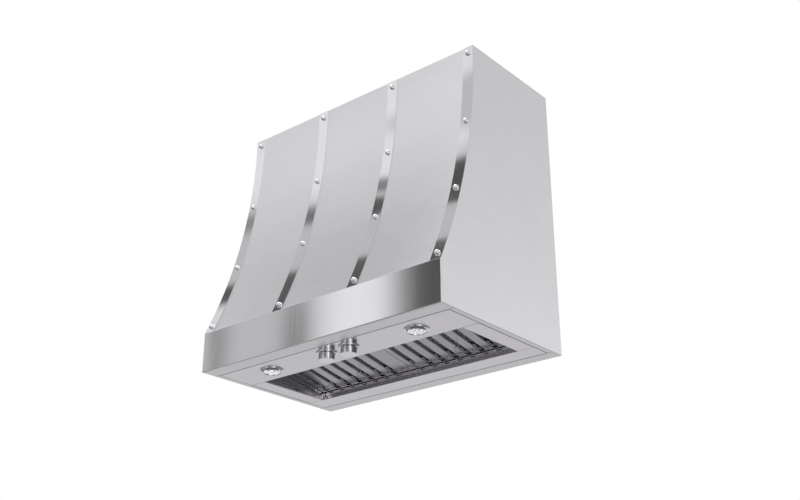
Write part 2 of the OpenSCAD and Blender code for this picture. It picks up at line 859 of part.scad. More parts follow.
module lamp_lens() {
    sphere_r = (lens_r * lens_r + lens_bulge * lens_bulge) / (2 * lens_bulge);
    low = -trim_drop + trim_edge;
    translate([0, 0, low]) cylinder(h = lens_rim, r = lens_r);
    intersection() {
        translate([0, 0, low - lens_bulge + sphere_r]) sphere(r = sphere_r, $fn = 180);
        translate([0, 0, low - 2 * lens_bulge]) cylinder(h = 2 * lens_bulge + lens_rim / 2, r = lens_r);
    }
}

module lamp_can() {
    difference() {
        union() {
            cylinder(h = can_height, r = can_r);
            for (side = [0, half_turn]) rotate([0, 0, side]) {
                block([can_r - can_wall, -clip_width / 2, can_height / 2],
                    [can_r + clip_sheet, clip_width / 2, can_height - can_wall]);
                rotate([quarter, 0, 0])
                    linear_extrude(height = clip_width, center = true)
                        polygon([[can_r, can_height / 2 + clip_sheet],
                            [can_r, can_height / 2],
                            [can_r + clip_reach, sheet],
                            [can_r + clip_reach + clip_sheet, sheet],
                            [can_r + clip_sheet, can_height / 2 + clip_sheet]]);
            }
        }
        translate([0, 0, -overrun]) cylinder(h = can_height - can_wall + overrun, r = can_r - can_wall);
    }
}

module lamp_left() translate([-lamp_offset, back(lamp_back), 0]) children();
module lamp_right() translate([lamp_offset, back(lamp_back), 0]) children();
module lamp_trim_left() color("gainsboro") lamp_left() lamp_trim();
module lamp_trim_right() color("gainsboro") lamp_right() lamp_trim();
module lamp_lens_left() color("white") lamp_left() lamp_lens();
module lamp_lens_right() color("white") lamp_right() lamp_lens();
module lamp_can_left() color("gray") lamp_left() lamp_can();
module lamp_can_right() color("gray") lamp_right() lamp_can();

// Controls

module bezel() {
    rotate_extrude() polygon([[bush_r + running, 0], [bezel_r, 0],
        [bezel_r, -bezel_drop + bezel_bevel], [bezel_r - bezel_bevel, -bezel_drop],
        [nut_room_r, -bezel_drop], [nut_room_r, -sheet], [bush_r + running, -sheet]]);
}

module knob() {
    low = -knob_top - knob_height;
    difference() {
        rotate_extrude() difference() {
            union() {
                translate([0, low + knob_round]) square([knob_r, knob_height - knob_round]);
                translate([0, low]) square([knob_r - knob_round, knob_height]);
                translate([knob_r - knob_round, low + knob_round]) circle(r = knob_round, $fn = 32);
            }
            translate([-knob_r, low]) square([knob_r, knob_height + overrun]);
        }
        translate([0, 0, -knob_top - nut_height]) cylinder(h = 2 * nut_height, r = nut_room_r);
        difference() {
            translate([0, 0, -knob_top - nut_height - spindle_grip])
                cylinder(h = spindle_grip + nut_height, r = spindle_r + running);
            block([-spindle_r, spindle_flat + running, -knob_top - nut_height - spindle_grip - overrun],
                [spindle_r, 2 * spindle_r, -knob_top - nut_height + overrun]);
        }
    }
}

module spindle() {
    tip = -knob_top - nut_height - spindle_grip;
    difference() {
        translate([0, 0, tip]) cylinder(h = switch_height / 2 - tip, r = spindle_r);
        block([-spindle_r, spindle_flat, tip - overrun], [spindle_r, 2 * spindle_r, -bush_drop - seam]);
    }
}

module switch() {
    difference() {
        union() {
            block([-switch_size / 2, -switch_size / 2, sheet],
                [switch_size / 2, switch_size / 2, sheet + switch_height]);
            translate([0, 0, -bush_drop]) cylinder(h = bush_drop + 2 * sheet, r = bush_r);
            for (i = [-1, 0, 1])
                block([i * 3 * tab_width / 2 - tab_width / 2, -clip_sheet / 2, switch_height],
                    [i * 3 * tab_width / 2 + tab_width / 2, clip_sheet / 2,
                        switch_height + sheet + tab_height]);
        }
        translate([0, 0, -bush_drop - overrun])
            cylinder(h = bush_drop + switch_height / 2 + overrun + seam, r = spindle_r + running);
    }
}

module fan_place() translate([-knob_offset, back(knob_back), 0]) children();
module light_place() translate([knob_offset, back(knob_back), 0]) children();
module fan_bezel() color("gainsboro") fan_place() bezel();
module light_bezel() color("gainsboro") light_place() bezel();
module fan_knob() color("gainsboro") fan_place() knob();
module light_knob() color("gainsboro") light_place() knob();
module fan_spindle() color("gray") fan_place() spindle();
module light_spindle() color("gray") light_place() spindle();
module fan_switch() color("dimgray") fan_place() switch();
module light_switch() color("dimgray") light_place() switch();

module switch_nuts() {
    color("gray") at_knobs() translate([0, 0, -sheet - nut_height]) difference() {
        cylinder(h = nut_height, r = nut_r, $fn = 6);
        translate([0, 0, -overrun]) cylinder(h = nut_height + 2 * overrun, r = bush_r);
    }
}

// Blower

module at_wheel() {
    translate([0, back(wheel_back), wheel_height]) children();
}

module scroll_2d(grow, lift) {
    step = scroll_growth;
    reach = 2 * (scroll_r + 4 * step);
    intersection() {
        translate([-step / 2, -step / 2]) circle(r = scroll_r + grow, $fn = 120);
        translate([-step / 2 - reach, -step / 2]) square([reach, reach]);
    }
    intersection() {
        translate([step / 2, -step / 2]) circle(r = scroll_r + step + grow, $fn = 120);
        translate([step / 2 - reach, -step / 2 - reach]) square([reach, reach]);
    }
    intersection() {
        translate([step / 2, step / 2]) circle(r = scroll_r + 2 * step + grow, $fn = 120);
        translate([step / 2, step / 2 - reach]) square([reach, reach]);
    }
    translate([-step / 2 - grow, -step / 2])
        square([scroll_rear_y + step / 2 + 2 * grow, lift + step / 2]);
}

module scroll_housing() {
    lift = plenum_top - sheet - wheel_height;
    wrap_half = scroll_half - sheet;
    color("lightgray") at_wheel() {
        difference() {
            along_x(2 * wrap_half) scroll_2d(sheet, lift);
            along_x(2 * scroll_half) scroll_2d(0, lift + overrun);
        }
        both_sides() translate([wrap_half + sheet / 2, 0, 0]) along_x(sheet) difference() {
            scroll_2d(sheet, lift);
            circle(r = inlet_r);
        }
    }
}

module inlet_ring() {
    translate([scroll_half, 0, 0]) rotate([0, quarter, 0]) rotate_extrude() difference() {
        translate([inlet_r - sheet, -inlet_mouth]) square([inlet_mouth, inlet_mouth + sheet]);
        translate([inlet_r, -inlet_mouth - overrun]) square([inlet_mouth, inlet_mouth + overrun]);
    }
}

module inlet_rings() {
    color("gray") at_wheel() both_sides() inlet_ring();
}

module blade_ring() {
    mid = wheel_r - blade_depth / 2;
    for (i = [0:blade_count - 1]) rotate([0, 0, i * full_turn / blade_count])
        translate([mid, 0]) rotate([0, 0, blade_lean])
            square([blade_depth, blade_sheet], center = true);
}

module impeller() {
    ring_depth = 2 * wheel_sheet;
    color("gray") at_wheel() rotate([0, quarter, 0]) {
        difference() {
            union() {
                cylinder(h = wheel_sheet, r = wheel_r, center = true);
                cylinder(h = 2 * hub_half, r = hub_r, center = true);
            }
            cylinder(h = 4 * hub_half, r = shaft_r, center = true);
        }
        for (side = [0, 1]) mirror([0, 0, side])
            translate([0, 0, wheel_half - ring_depth]) difference() {
                cylinder(h = ring_depth, r = wheel_r);
                translate([0, 0, -overrun])
                    cylinder(h = ring_depth + 2 * overrun, r = wheel_r - blade_depth / 2);
            }
    }
}

module impeller_blades() {
    color("gray") at_wheel() rotate([0, quarter, 0]) for (side = [0, 1]) mirror([0, 0, side])
        translate([0, 0, wheel_sheet / 2])
            linear_extrude(height = wheel_half - 5 * wheel_sheet / 2) blade_ring();
}

module motor_shaft() {
    color("gainsboro") at_wheel() rotate([0, -quarter, 0]) translate([0, 0, -hub_half])
        cylinder(h = hub_half + motor_start + motor_length / 2, r = shaft_r);
}

module motor_body() {
    color("dimgray") at_wheel() rotate([0, -quarter, 0]) difference() {
        union() {
            translate([0, 0, motor_start]) cylinder(h = motor_length, r = motor_r);
            translate([0, 0, motor_start - boss_length]) cylinder(h = motor_length / 2, r = boss_r);
            translate([0, 0, motor_start + motor_length]) cylinder(h = boss_length, r = boss_r);
        }
        cylinder(h = motor_start + motor_length / 2 + overrun, r = shaft_r + running);
    }
}

module motor_bracket() {
    ring = motor_r + arm_sheet;
    outside = scroll_half + 2 * sheet;
    color("gray") at_wheel() rotate([0, -quarter, 0]) difference() {
        union() {
            translate([0, 0, outside - arm_width / 2]) cylinder(h = arm_width, r = ring);
            for (i = [0:2]) rotate([0, 0, i * third])
                block([motor_r, -arm_width / 2, outside - sheet],
                    [arm_r, arm_width / 2, outside - sheet + arm_sheet]);
        }
        cylinder(h = 2 * motor_length + scroll_half, r = motor_r);
    }
}

// Duct and dampers

module at_duct(level) {
    translate([0, back(duct_back), level]) children();
}

module riser_duct() {
    color("lightgray") at_duct(plenum_top) difference() {
        union() {
            cylinder(h = hood_height - sheet - plenum_top, r = duct_r);
            cylinder(h = duct_sheet, r = duct_r + duct_flange);
        }
        translate([0, 0, -overrun])
            cylinder(h = hood_height - plenum_top + 2 * overrun, r = duct_r - duct_sheet);
    }
}

module duct_collar() {
    inner = collar_r - duct_sheet;
    low_r = collar_r - collar_step;
    color("lightgray") {
        at_duct(hood_height - sheet - collar_in) difference() {
            cylinder(h = collar_in + sheet + duct_sheet, r = low_r);
            translate([0, 0, -overrun])
                cylinder(h = collar_in + sheet + duct_sheet + 2 * overrun, r = low_r - duct_sheet);
        }
        at_duct(hood_height) difference() {
            union() {
                cylinder(h = collar_out, r = collar_r);
                cylinder(h = duct_sheet, r = collar_r + duct_flange);
            }
            translate([0, 0, duct_sheet]) cylinder(h = collar_out + overrun, r = inner);
            translate([0, 0, -overrun]) cylinder(h = duct_sheet + 2 * overrun, r = low_r - duct_sheet);
            translate([0, 0, damper_height]) rotate([0, quarter, 0])
                cylinder(h = 3 * collar_r, r = pin_r + running, center = true);
        }
        at_duct(pin_level - 3 * duct_sheet / 2 - running) intersection() {
            for (turn = [-quarter / 2, quarter / 2, quarter * 3 / 2, -quarter * 3 / 2])
                rotate([0, 0, turn])
                    block([inner - stop_depth, -stop_width / 2, 0],
                        [inner + duct_sheet / 2, stop_width / 2, duct_sheet]);
            cylinder(h = duct_sheet, r = inner + duct_sheet / 2);
        }
    }
}

module at_knuckle(share) {
    translate([share * knuckle_step - (share < 0 ? 0 : knuckle_length), 0, 0]) children();
}

module damper(own, other) {
    difference() {
        union() {
            difference() {
                intersection() {
                    cylinder(h = duct_sheet, r = flap_r, center = true);
                    block([-flap_r, -flap_r, -duct_sheet],
                        [flap_r, -pin_r - knuckle_clear, duct_sheet]);
                }
                for (share = other) at_knuckle(share)
                    block([-knuckle_clear, -knuckle_r - knuckle_clear, -knuckle_r],
                        [knuckle_length + knuckle_clear, knuckle_r, knuckle_r]);
            }
            for (share = own) at_knuckle(share) rotate([0, quarter, 0])
                cylinder(h = knuckle_length, r = knuckle_r);
        }
        rotate([0, quarter, 0]) cylinder(h = 3 * flap_r, r = pin_r + running, center = true);
    }
}

module damper_front() {
    color("gainsboro") at_duct(pin_level) damper(front_knuckle_shares, rear_knuckle_shares);
}

module damper_rear() {
    color("gainsboro") at_duct(pin_level) rotate([0, 0, half_turn])
        damper([for (share = rear_knuckle_shares) -share],
            [for (share = front_knuckle_shares) -share]);
}

module damper_pin() {
    color("gray") at_duct(pin_level) rotate([0, quarter, 0]) {
        cylinder(h = 2 * collar_r, r = pin_r, center = true);
        for (side = [0, half_turn]) rotate([side, 0, 0])
            translate([0, 0, collar_r - 2 * duct_sheet]) cylinder(h = duct_sheet, r = 2 * pin_r);
    }
}

// Electrics

module junction_box() {
    color("gray") translate([box_from_centre, back(box_back), plenum_top]) difference() {
        cube([box_width, box_depth, box_height]);
        translate([sheet, sheet, sheet])
            cube([box_width - 2 * sheet, box_depth - 2 * sheet, box_height]);
        translate([box_width / 2, box_depth / 2, box_height / 2]) rotate([-quarter, 0, 0])
            cylinder(h = box_depth, r = cable_hole_r);
    }
}

module junction_cover() {
    color("gray") translate([box_from_centre, back(box_back), plenum_top + box_height]) {
        translate([-sheet, -sheet, 0]) cube([box_width + 2 * sheet, box_depth + 2 * sheet, sheet]);
        for (y = [-sheet, box_depth])
            translate([0, y, -lip / 2]) cube([box_width, sheet, lip / 2 + sheet / 2]);
    }
}

module cable_gland() {
    color("dimgray") translate([cable_offset, back(cable_back), hood_height]) difference() {
        union() {
            cylinder(h = gland_part, r = gland_nut_r);
            translate([0, 0, gland_part]) cylinder(h = gland_part, r = gland_nut_r - sheet, $fn = 6);
            translate([0, 0, -sheet]) cylinder(h = 2 * sheet, r = cable_hole_r);
            translate([0, 0, -sheet - gland_part]) cylinder(h = gland_part, r = gland_nut_r, $fn = 6);
        }
        cylinder(h = 6 * gland_part, r = gland_bore_r, center = true);
    }
}

// Rivets

module at_rivets() {
    for (share = rivet_shares, side = [-1, 1])
        translate([side * (inner_half - shell_flange / 2), 0, share * hood_height])
            rotate([quarter, 0, 0]) children();
}

module panel_rivets() {
    color("gainsboro") at_rivets() {
        cylinder(h = 2 * sheet + rivet_head_h / 2, r = rivet_r);
        translate([0, 0, 2 * sheet]) cylinder(h = rivet_head_h, r = rivet_head_r);
    }
}

front_skin();
side_panel_left();
side_panel_right();
back_panel();
top_panel();
apron();
strap_outer_left();
strap_inner_left();
strap_inner_right();
strap_outer_right();
strap_studs();
wall_rails();
control_panel();
liner_rear();
liner_side_left();
liner_side_right();
filter_rail();
grease_trough();
filter_rests();
plenum_box();
plenum_stays();
filter_frame_left();
lower_vanes_left();
upper_vanes_left();
filter_pull_left();
filter_frame_right();
lower_vanes_right();
upper_vanes_right();
filter_pull_right();
lamp_trim_left();
lamp_lens_left();
lamp_can_left();
lamp_trim_right();
lamp_lens_right();
lamp_can_right();
fan_bezel();
light_bezel();
fan_knob();
light_knob();
fan_spindle();
light_spindle();
fan_switch();
light_switch();
switch_nuts();
scroll_housing();
inlet_rings();
impeller();
impeller_blades();
motor_shaft();
motor_body();
motor_bracket();
riser_duct();
duct_collar();
damper_front();
damper_rear();
damper_pin();
junction_box();
junction_cover();
cable_gland();
panel_rivets();
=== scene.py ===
"""Looks of a canopy range hood: steel finishes, lamps, knobs, filters and fan, in a plain pale studio."""

import logging
import math
from dataclasses import dataclass
from enum import Enum

import bmesh
import bpy
from mathutils import Matrix, Vector


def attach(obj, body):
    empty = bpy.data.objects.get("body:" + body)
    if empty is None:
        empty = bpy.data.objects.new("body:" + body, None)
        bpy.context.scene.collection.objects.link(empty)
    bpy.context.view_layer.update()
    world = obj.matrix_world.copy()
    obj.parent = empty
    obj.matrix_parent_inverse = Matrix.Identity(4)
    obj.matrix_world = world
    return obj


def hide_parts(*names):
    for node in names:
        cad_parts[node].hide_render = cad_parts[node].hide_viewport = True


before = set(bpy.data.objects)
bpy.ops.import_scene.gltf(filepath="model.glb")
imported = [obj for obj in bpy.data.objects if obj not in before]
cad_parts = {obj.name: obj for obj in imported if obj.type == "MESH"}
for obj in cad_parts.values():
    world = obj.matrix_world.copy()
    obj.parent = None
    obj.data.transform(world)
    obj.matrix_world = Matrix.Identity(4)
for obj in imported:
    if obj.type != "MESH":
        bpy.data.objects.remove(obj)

LOG = logging.getLogger("range_hood")
MM = 0.001
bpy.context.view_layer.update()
CANOPY = "canopy"
HANDS = (("left", -1), ("right", 1))
WHITE = (1.0, 1.0, 1.0, 1.0)

# Points of a mesh that lie closer than this are one, in metres
WELD = 1e-6
# A point this close to a fold or an edge lies on it, in metres
NEAR = 2e-5
# Faces that turn by less than this lie in one plane, in degrees
FLAT = 0.4


class Grain(Enum):
    """The way that the lines of a finish run, as the axis along which they are long."""

    ACROSS = 0
    INWARD = 1
    UPRIGHT = 2

    def cells(self, line_mm: float, run_mm: float) -> tuple[float, ...]:
        """Gives the cells of a pattern of lines.

        Args:
            line_mm: The cells' size across the lines, in millimetres.
            run_mm: Their size along the lines, in millimetres.

        Returns:
            The size along X, Y and Z.
        """
        sizes = [line_mm] * 3
        sizes[self.value] = run_mm
        return tuple(sizes)


def linear(code: str) -> tuple[float, float, float, float]:
    """Turns a screen colour into the linear colour that a shader takes.

    Args:
        code: The sRGB colour as a hash and six hex digits.

    Returns:
        Red, green, blue and an alpha of one.
    """

    def channel(value: float) -> float:
        """Undoes the sRGB curve for one channel from 0 to 1."""
        return value / 12.92 if value <= 0.04045 else ((value + 0.055) / 1.055) ** 2.4

    red, green, blue = (channel(int(code[i : i + 2], 16) / 255) for i in (1, 3, 5))
    return red, green, blue, 1.0


def add(
    tree: bpy.types.NodeTree, kind: str, settings: dict | None = None, links: dict | None = None
) -> bpy.types.Node:
    """Adds a node with its settings and links.

    Args:
        tree: The node tree that takes the node.
        kind: The node's type, without its first word ShaderNode.
        settings: Values by the name of a property, or by the name or number of an input.
        links: Output sockets by the name or number of the input that each one feeds.

    Returns:
        The new node.
    """
    node = tree.nodes.new("ShaderNode" + kind)
    for key, value in (settings or {}).items():
        if isinstance(key, str) and hasattr(node, key):
            setattr(node, key, value)
        else:
            node.inputs[key].default_value = value
    for key, socket in (links or {}).items():
        tree.links.new(socket, node.inputs[key])
    return node


@dataclass(frozen=True)
class Finish:
    """A material and how its surface was made.

    The name is the material's own, and slot is the record's slot that the finish stands for.
    The pattern of the surface mixes the two tones, light and dark.
    """

    name: str
    slot: str
    light: str
    dark: str

    def material(self) -> bpy.types.Material:
        """Makes the material once, and gives the same one after that."""
        made = bpy.data.materials.get(self.name)
        if made is None:
            made = bpy.data.materials.new(self.name)
            made.use_nodes = True
            made.node_tree.nodes.clear()
            shader = self.paint(made.node_tree)
            add(made.node_tree, "OutputMaterial", links={"Surface": shader.outputs[0]})
        return made

    def paint(self, tree: bpy.types.NodeTree) -> bpy.types.Node:
        """Builds the finish.

        Args:
            tree: The material's empty tree.

        Returns:
            The shader node.
        """
        raise NotImplementedError

    def tone(self, tree: bpy.types.NodeTree, share: bpy.types.NodeSocket) -> bpy.types.NodeSocket:
        """Mixes the two tones.

        Args:
            tree: The node tree.
            share: The share of the light tone.

        Returns:
            The colour's socket.
        """
        tones = {"data_type": "RGBA", 6: linear(self.dark), 7: linear(self.light)}
        return add(tree, "Mix", tones, {0: share}).outputs[2]

    @staticmethod
    def place(tree: bpy.types.NodeTree, cells_mm: tuple[float, ...]) -> bpy.types.NodeSocket:
        """Gives the point on the part, counted in cells of a real size.

        Args:
            tree: The node tree.
            cells_mm: The size of a cell along X, Y and Z, in millimetres.

        Returns:
            The vector socket.
        """
        where = add(tree, "TexCoord")
        scale = [1 / (size * MM) for size in cells_mm]
        return add(tree, "Mapping", {"Scale": scale}, {"Vector": where.outputs["Object"]}).outputs[0]


@dataclass(frozen=True)
class Metal(Finish):
    """Bare or plated metal, whose roughness moves by spread to both sides of its mean."""

    roughness: float
    spread: float

    def shader(
        self,
        tree: bpy.types.NodeTree,
        share: bpy.types.NodeSocket,
        sheen: bpy.types.NodeSocket,
        relief: bpy.types.NodeSocket,
        depth_mm: float,
        strength: float = 1.0,
        band: tuple[float, float] = (0.0, 1.0),
    ) -> bpy.types.Node:
        """Builds the shader from the patterns of the surface.

        The IOR keeps its default, because a metal's reflection comes from its colour.

        Args:
            tree: The node tree.
            share: The share of the light tone.
            sheen: The pattern that moves the roughness.
            relief: The height of the surface.
            depth_mm: The height that a relief of one stands for, in millimetres.
            strength: The share of the relief that counts.
            band: The values of sheen with the least and the most roughness.

        Returns:
            The shader node.
        """
        rough = add(
            tree,
            "MapRange",
            {
                "From Min": band[0],
                "From Max": band[1],
                "To Min": self.roughness - self.spread,
                "To Max": self.roughness + self.spread,
            },
            {"Value": sheen},
        )
        bump = add(tree, "Bump", {"Strength": strength, "Distance": depth_mm * MM}, {"Height": relief})
        colour = self.tone(tree, share)
        return add(
            tree,
            "BsdfPrincipled",
            {"Metallic": 1.0},
            {"Base Color": colour, "Roughness": rough.outputs[0], "Normal": bump.outputs[0]},
        )


@dataclass(frozen=True)
class BeltedSteel(Metal):
    """Stainless sheet ground with a fine belt.

    The belt leaves long shallow lines, which spread a reflection and give the sheet its soft, even grey.
    The real lines are about 0.1 mm wide; they are drawn wider, because nothing finer shows in the render.
    """

    light: str = "#F1EFF2"
    dark: str = "#E8E6EA"
    roughness: float = 0.34
    spread: float = 0.03
    line_mm: float = 1.6
    run_mm: float = 90.0
    cloud_mm: float = 170.0
    cloud_share: float = 0.35
    tone_band: tuple[float, float] = (0.42, 0.93)
    line_band: tuple[float, float] = (0.3, 0.7)
    relief_mm: float = 0.0012
    grain: Grain = Grain.ACROSS

    def paint(self, tree: bpy.types.NodeTree) -> bpy.types.Node:
        """Builds belt lines and faint clouds over bare steel."""
        lined = self.place(tree, self.grain.cells(self.line_mm, self.run_mm))
        clouded = self.place(tree, (self.cloud_mm,) * 3)
        lines = add(tree, "TexNoise", {"Scale": 1.0, "Detail": 3.0, "Roughness": 0.65}, {"Vector": lined})
        clouds = add(tree, "TexNoise", {"Scale": 1.0, "Detail": 2.0}, {"Vector": clouded})
        both = add(
            tree,
            "Math",
            {"operation": "MULTIPLY_ADD", 1: self.cloud_share},
            {0: clouds.outputs[0], 2: lines.outputs[0]},
        )
        low, high = self.tone_band
        share = add(tree, "MapRange", {"From Min": low, "From Max": high}, {"Value": both.outputs[0]})
        line = lines.outputs[0]
        return self.shader(tree, share.outputs[0], line, line, self.relief_mm, band=self.line_band)


@dataclass(frozen=True)
class MirrorSteel(Metal):
    """Stainless sheet or turned steel polished to a mirror.

    The eye sees the room in it, a little bent because no sheet is quite flat, with a trace of wheel lines.
    """

    light: str = "#E6E6E8"
    dark: str = "#DDDDE0"
    roughness: float = 0.06
    spread: float = 0.02
    wave_mm: float = 140.0
    wave_depth_mm: float = 0.03
    line_mm: float = 1.2
    run_mm: float = 120.0
    line_band: tuple[float, float] = (0.3, 0.7)
    grain: Grain = Grain.UPRIGHT

    def paint(self, tree: bpy.types.NodeTree) -> bpy.types.Node:
        """Builds slow waves and faint wheel lines under a mirror."""
        lined = self.place(tree, self.grain.cells(self.line_mm, self.run_mm))
        waved = self.place(tree, (self.wave_mm,) * 3)
        line = add(tree, "TexNoise", {"Scale": 1.0, "Detail": 2.0}, {"Vector": lined}).outputs[0]
        wave = add(tree, "TexNoise", {"Scale": 1.0, "Detail": 0.0}, {"Vector": waved}).outputs[0]
        return self.shader(tree, line, line, wave, self.wave_depth_mm, band=self.line_band)


@dataclass(frozen=True)
class ZincSheet(Metal):
    """Steel sheet dipped in zinc.

    The zinc freezes in flat crystals of about a centimetre, each of its own grey: the sheet looks quilted.
    """

    light: str = "#C9CCCF"
    dark: str = "#8F9499"
    roughness: float = 0.38
    spread: float = 0.1
    crystal_mm: float = 11.0
    bent_share: float = 0.9
    relief_mm: float = 0.02
    relief_share: float = 0.4

    def paint(self, tree: bpy.types.NodeTree) -> bpy.types.Node:
        """Builds crystals of several greys, whose edges a noise bends."""
        place = self.place(tree, (self.crystal_mm,) * 3)
        noise = add(tree, "TexNoise", {"Scale": 1.4, "Detail": 2.0}, {"Vector": place})
        bent = add(
            tree,
            "VectorMath",
            {"operation": "MULTIPLY_ADD", 1: (self.bent_share,) * 3},
            {0: noise.outputs[1], 2: place},
        )
        crystals = add(tree, "TexVoronoi", {"Scale": 1.0}, {"Vector": bent.outputs[0]})
        grey = add(tree, "SeparateColor", {}, {0: crystals.outputs["Color"]})
        share, sheen, height = grey.outputs[:3]
        return self.shader(tree, share, sheen, height, self.relief_mm, strength=self.relief_share)


@dataclass(frozen=True)
class CastMetal(Metal):
    """Metal cast in a mould, or plated over a rough blank.

    Its skin is pitted at the scale of the sand or the plating bath, so it has a dull, broken sheen.
    """

    light: str = "#B9BABC"
    dark: str = "#8D8E91"
    roughness: float = 0.45
    spread: float = 0.1
    pit_mm: float = 1.8
    pit_depth_mm: float = 0.05
    pit_share: float = 0.6
    pits_in_cloud: float = 14.0

    def paint(self, tree: bpy.types.NodeTree) -> bpy.types.Node:
        """Builds fine pits and a cloudy grey."""
        pitted = self.place(tree, (self.pit_mm,) * 3)
        clouded = self.place(tree, (self.pit_mm * self.pits_in_cloud,) * 3)
        pit = add(tree, "TexNoise", {"Scale": 1.0, "Detail": 4.0}, {"Vector": pitted}).outputs[0]
        cloud = add(tree, "TexNoise", {"Scale": 1.0, "Detail": 3.0}, {"Vector": clouded}).outputs[0]
        return self.shader(tree, cloud, cloud, pit, self.pit_depth_mm, strength=self.pit_share)


@dataclass(frozen=True)
class MouldedPlastic(Finish):
    """Filled nylon from a spark-eroded mould.

    The mould's texture breaks up its gloss, and thin spots look a little paler.
    """

    light: str = "#2B2B2E"
    dark: str = "#1B1B1D"
    roughness: float = 0.46
    texture_mm: float = 0.9
    texture_depth_mm: float = 0.03

    def paint(self, tree: bpy.types.NodeTree) -> bpy.types.Node:
        """Builds a leathery fine texture over black."""
        place = self.place(tree, (self.texture_mm,) * 3)
        texture = add(tree, "TexNoise", {"Scale": 1.0, "Detail": 3.0}, {"Vector": place}).outputs[0]
        relief = {"Strength": 0.7, "Distance": self.texture_depth_mm * MM}
        bump = add(tree, "Bump", relief, {"Height": texture})
        return add(
            tree,
            "BsdfPrincipled",
            {"Roughness": self.roughness, "IOR": 1.53},
            {"Base Color": self.tone(tree, texture), "Normal": bump.outputs[0]},
        )


@dataclass(frozen=True)
class LitLens(Finish):
    """Pressed glass over a lamp that is on.

    The press leaves small pillow facets, which break the light behind the glass into white and grey flecks.
    """

    light: str = "#FFFFFF"
    dark: str = "#A6A6AC"
    roughness: float = 0.16
    facet_mm: float = 5.5
    facet_height: float = 3.0
    facet_relief_mm: float = 0.6
    glow: float = 0.55

    def paint(self, tree: bpy.types.NodeTree) -> bpy.types.Node:
        """Builds facets that glow unevenly."""
        facets = add(
            tree,
            "TexVoronoi",
            {"feature": "SMOOTH_F1", "Scale": 1.0, "Smoothness": 0.25},
            {"Vector": self.place(tree, (self.facet_mm, self.facet_mm, self.facet_mm * self.facet_height))},
        )
        flecks = add(
            tree,
            "MapRange",
            {"From Min": 0.25, "From Max": 0.62, "To Min": 1.0, "To Max": 0.0},
            {"Value": facets.outputs[0]},
        )
        colour = self.tone(tree, flecks.outputs[0])
        relief = {"Strength": 0.5, "Distance": self.facet_relief_mm * MM}
        bump = add(tree, "Bump", relief, {"Height": facets.outputs[0]})
        return add(
            tree,
            "BsdfPrincipled",
            {"Roughness": self.roughness, "IOR": 1.5, "Emission Strength": self.glow},
            {"Base Color": colour, "Emission Color": colour, "Normal": bump.outputs[0]},
        )


# Front, back and top are ground across: a soft, even grey with faint level lines
SKIN = BeltedSteel("satin_stainless_sheet", "satin_steel")
# The sides are ground from front to back: the same grey with its lines turned inward
SIDE = BeltedSteel("satin_stainless_side", "satin_steel", grain=Grain.INWARD)
# The underside had a finer belt: smoother, so that it shows a blur of what lies below
LINER = BeltedSteel(
    "satin_stainless_liner", "liner_steel", light="#E6E3E8", dark="#DBD8DD", roughness=0.2, relief_mm=0.0015
)
# Frames and lower baffles are bright rolled strip: long blurred streaks along each baffle
BAFFLE = BeltedSteel(
    "rolled_stainless_baffle",
    "filter_steel",
    light="#F1EFF3",
    dark="#E2E0E5",
    roughness=0.23,
    spread=0.02,
    line_mm=4.5,
    relief_mm=0.001,
    grain=Grain.INWARD,
)
# Upper baffles show the strip's pickled side: matt, and painted a lighter grey than the lower baffles to
# lift the shade in the gaps below them, so that those gaps look an even dark grey
BAFFLE_BACK = BeltedSteel(
    "pickled_stainless_baffle",
    # Lighter tones than BAFFLE's: painted light that lifts the shade falling in the gaps inside the filter
    "filter_steel",
    light="#F6F5F7",
    dark="#EDEBEF",
    roughness=0.55,
    line_mm=4.5,
    relief_mm=0.0,
    grain=Grain.INWARD,
)
# Straps and apron are buffed: clear bands of bright and dark
POLISHED = MirrorSteel("mirror_polished_stainless", "polished_steel")
# Studs, knobs, rings and pulls are plated: the clearest mirror, with bright points beside dark rims
CHROME = MirrorSteel(
    "chrome_plated_steel", "chrome", light="#EBEBED", dark="#E4E4E7", roughness=0.04, wave_depth_mm=0.0
)
# Sheet metal out of sight: a dull patchwork of greys
GALVANISED = ZincSheet("hot_dip_galvanised_sheet", "galvanised_steel")
# Rivets, nuts and shafts are plated bright: pale silver with a fine bloom
ZINC = CastMetal(
    "bright_zinc_plated_steel",
    "zinc_steel",
    light="#C6C7C6",
    dark="#A3A6A8",
    roughness=0.3,
    pit_depth_mm=0.01,
)
# Motor and lamp cans are as they left the sand: grey and grainy, with no clear highlight
CAST = CastMetal("sand_cast_aluminium", "cast_aluminium")
# Switches and gland: black with a broad, soft highlight
NYLON = MouldedPlastic("spark_textured_black_nylon", "black_plastic")
# Lamp lenses: white flecks over a lit grey
LENS = LitLens("pressed_lamp_glass", "lens_glass")


def dress(finish: Finish, *nodes: str) -> None:
    """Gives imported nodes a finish.

    Args:
        finish: The finish.
        nodes: The names of the nodes.
    """
    for name in nodes:
        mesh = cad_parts[name].data
        mesh.materials.clear()
        mesh.materials.append(finish.material())
    LOG.info("%s: %s", finish.name, ", ".join(nodes))


def hand_over(made: bpy.types.Object, finish: Finish, body: str, *nodes: str) -> None:
    """Gives a new piece its finish, its body and the nodes that it stands for.

    Args:
        made: The piece, in place in the row frame.
        finish: Its finish.
        body: The body that it rides on.
        nodes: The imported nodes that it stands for.
    """
    made.data.materials.clear()
    made.data.materials.append(finish.material())
    bpy.context.scene.collection.objects.link(made)
    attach(made, body)
    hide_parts(*nodes)
    LOG.info("%s: %s, on %s, for %s", made.name, finish.name, body, ", ".join(nodes))


def point(x: float, y: float, z: float) -> Vector:
    """Gives a point in metres from its place in millimetres."""
    return Vector((x, y, z)) * MM


def turns(sides: int) -> list[float]:
    """Gives the angles of equal steps round a circle, in radians."""
    return [2 * math.pi * k / sides for k in range(sides)]


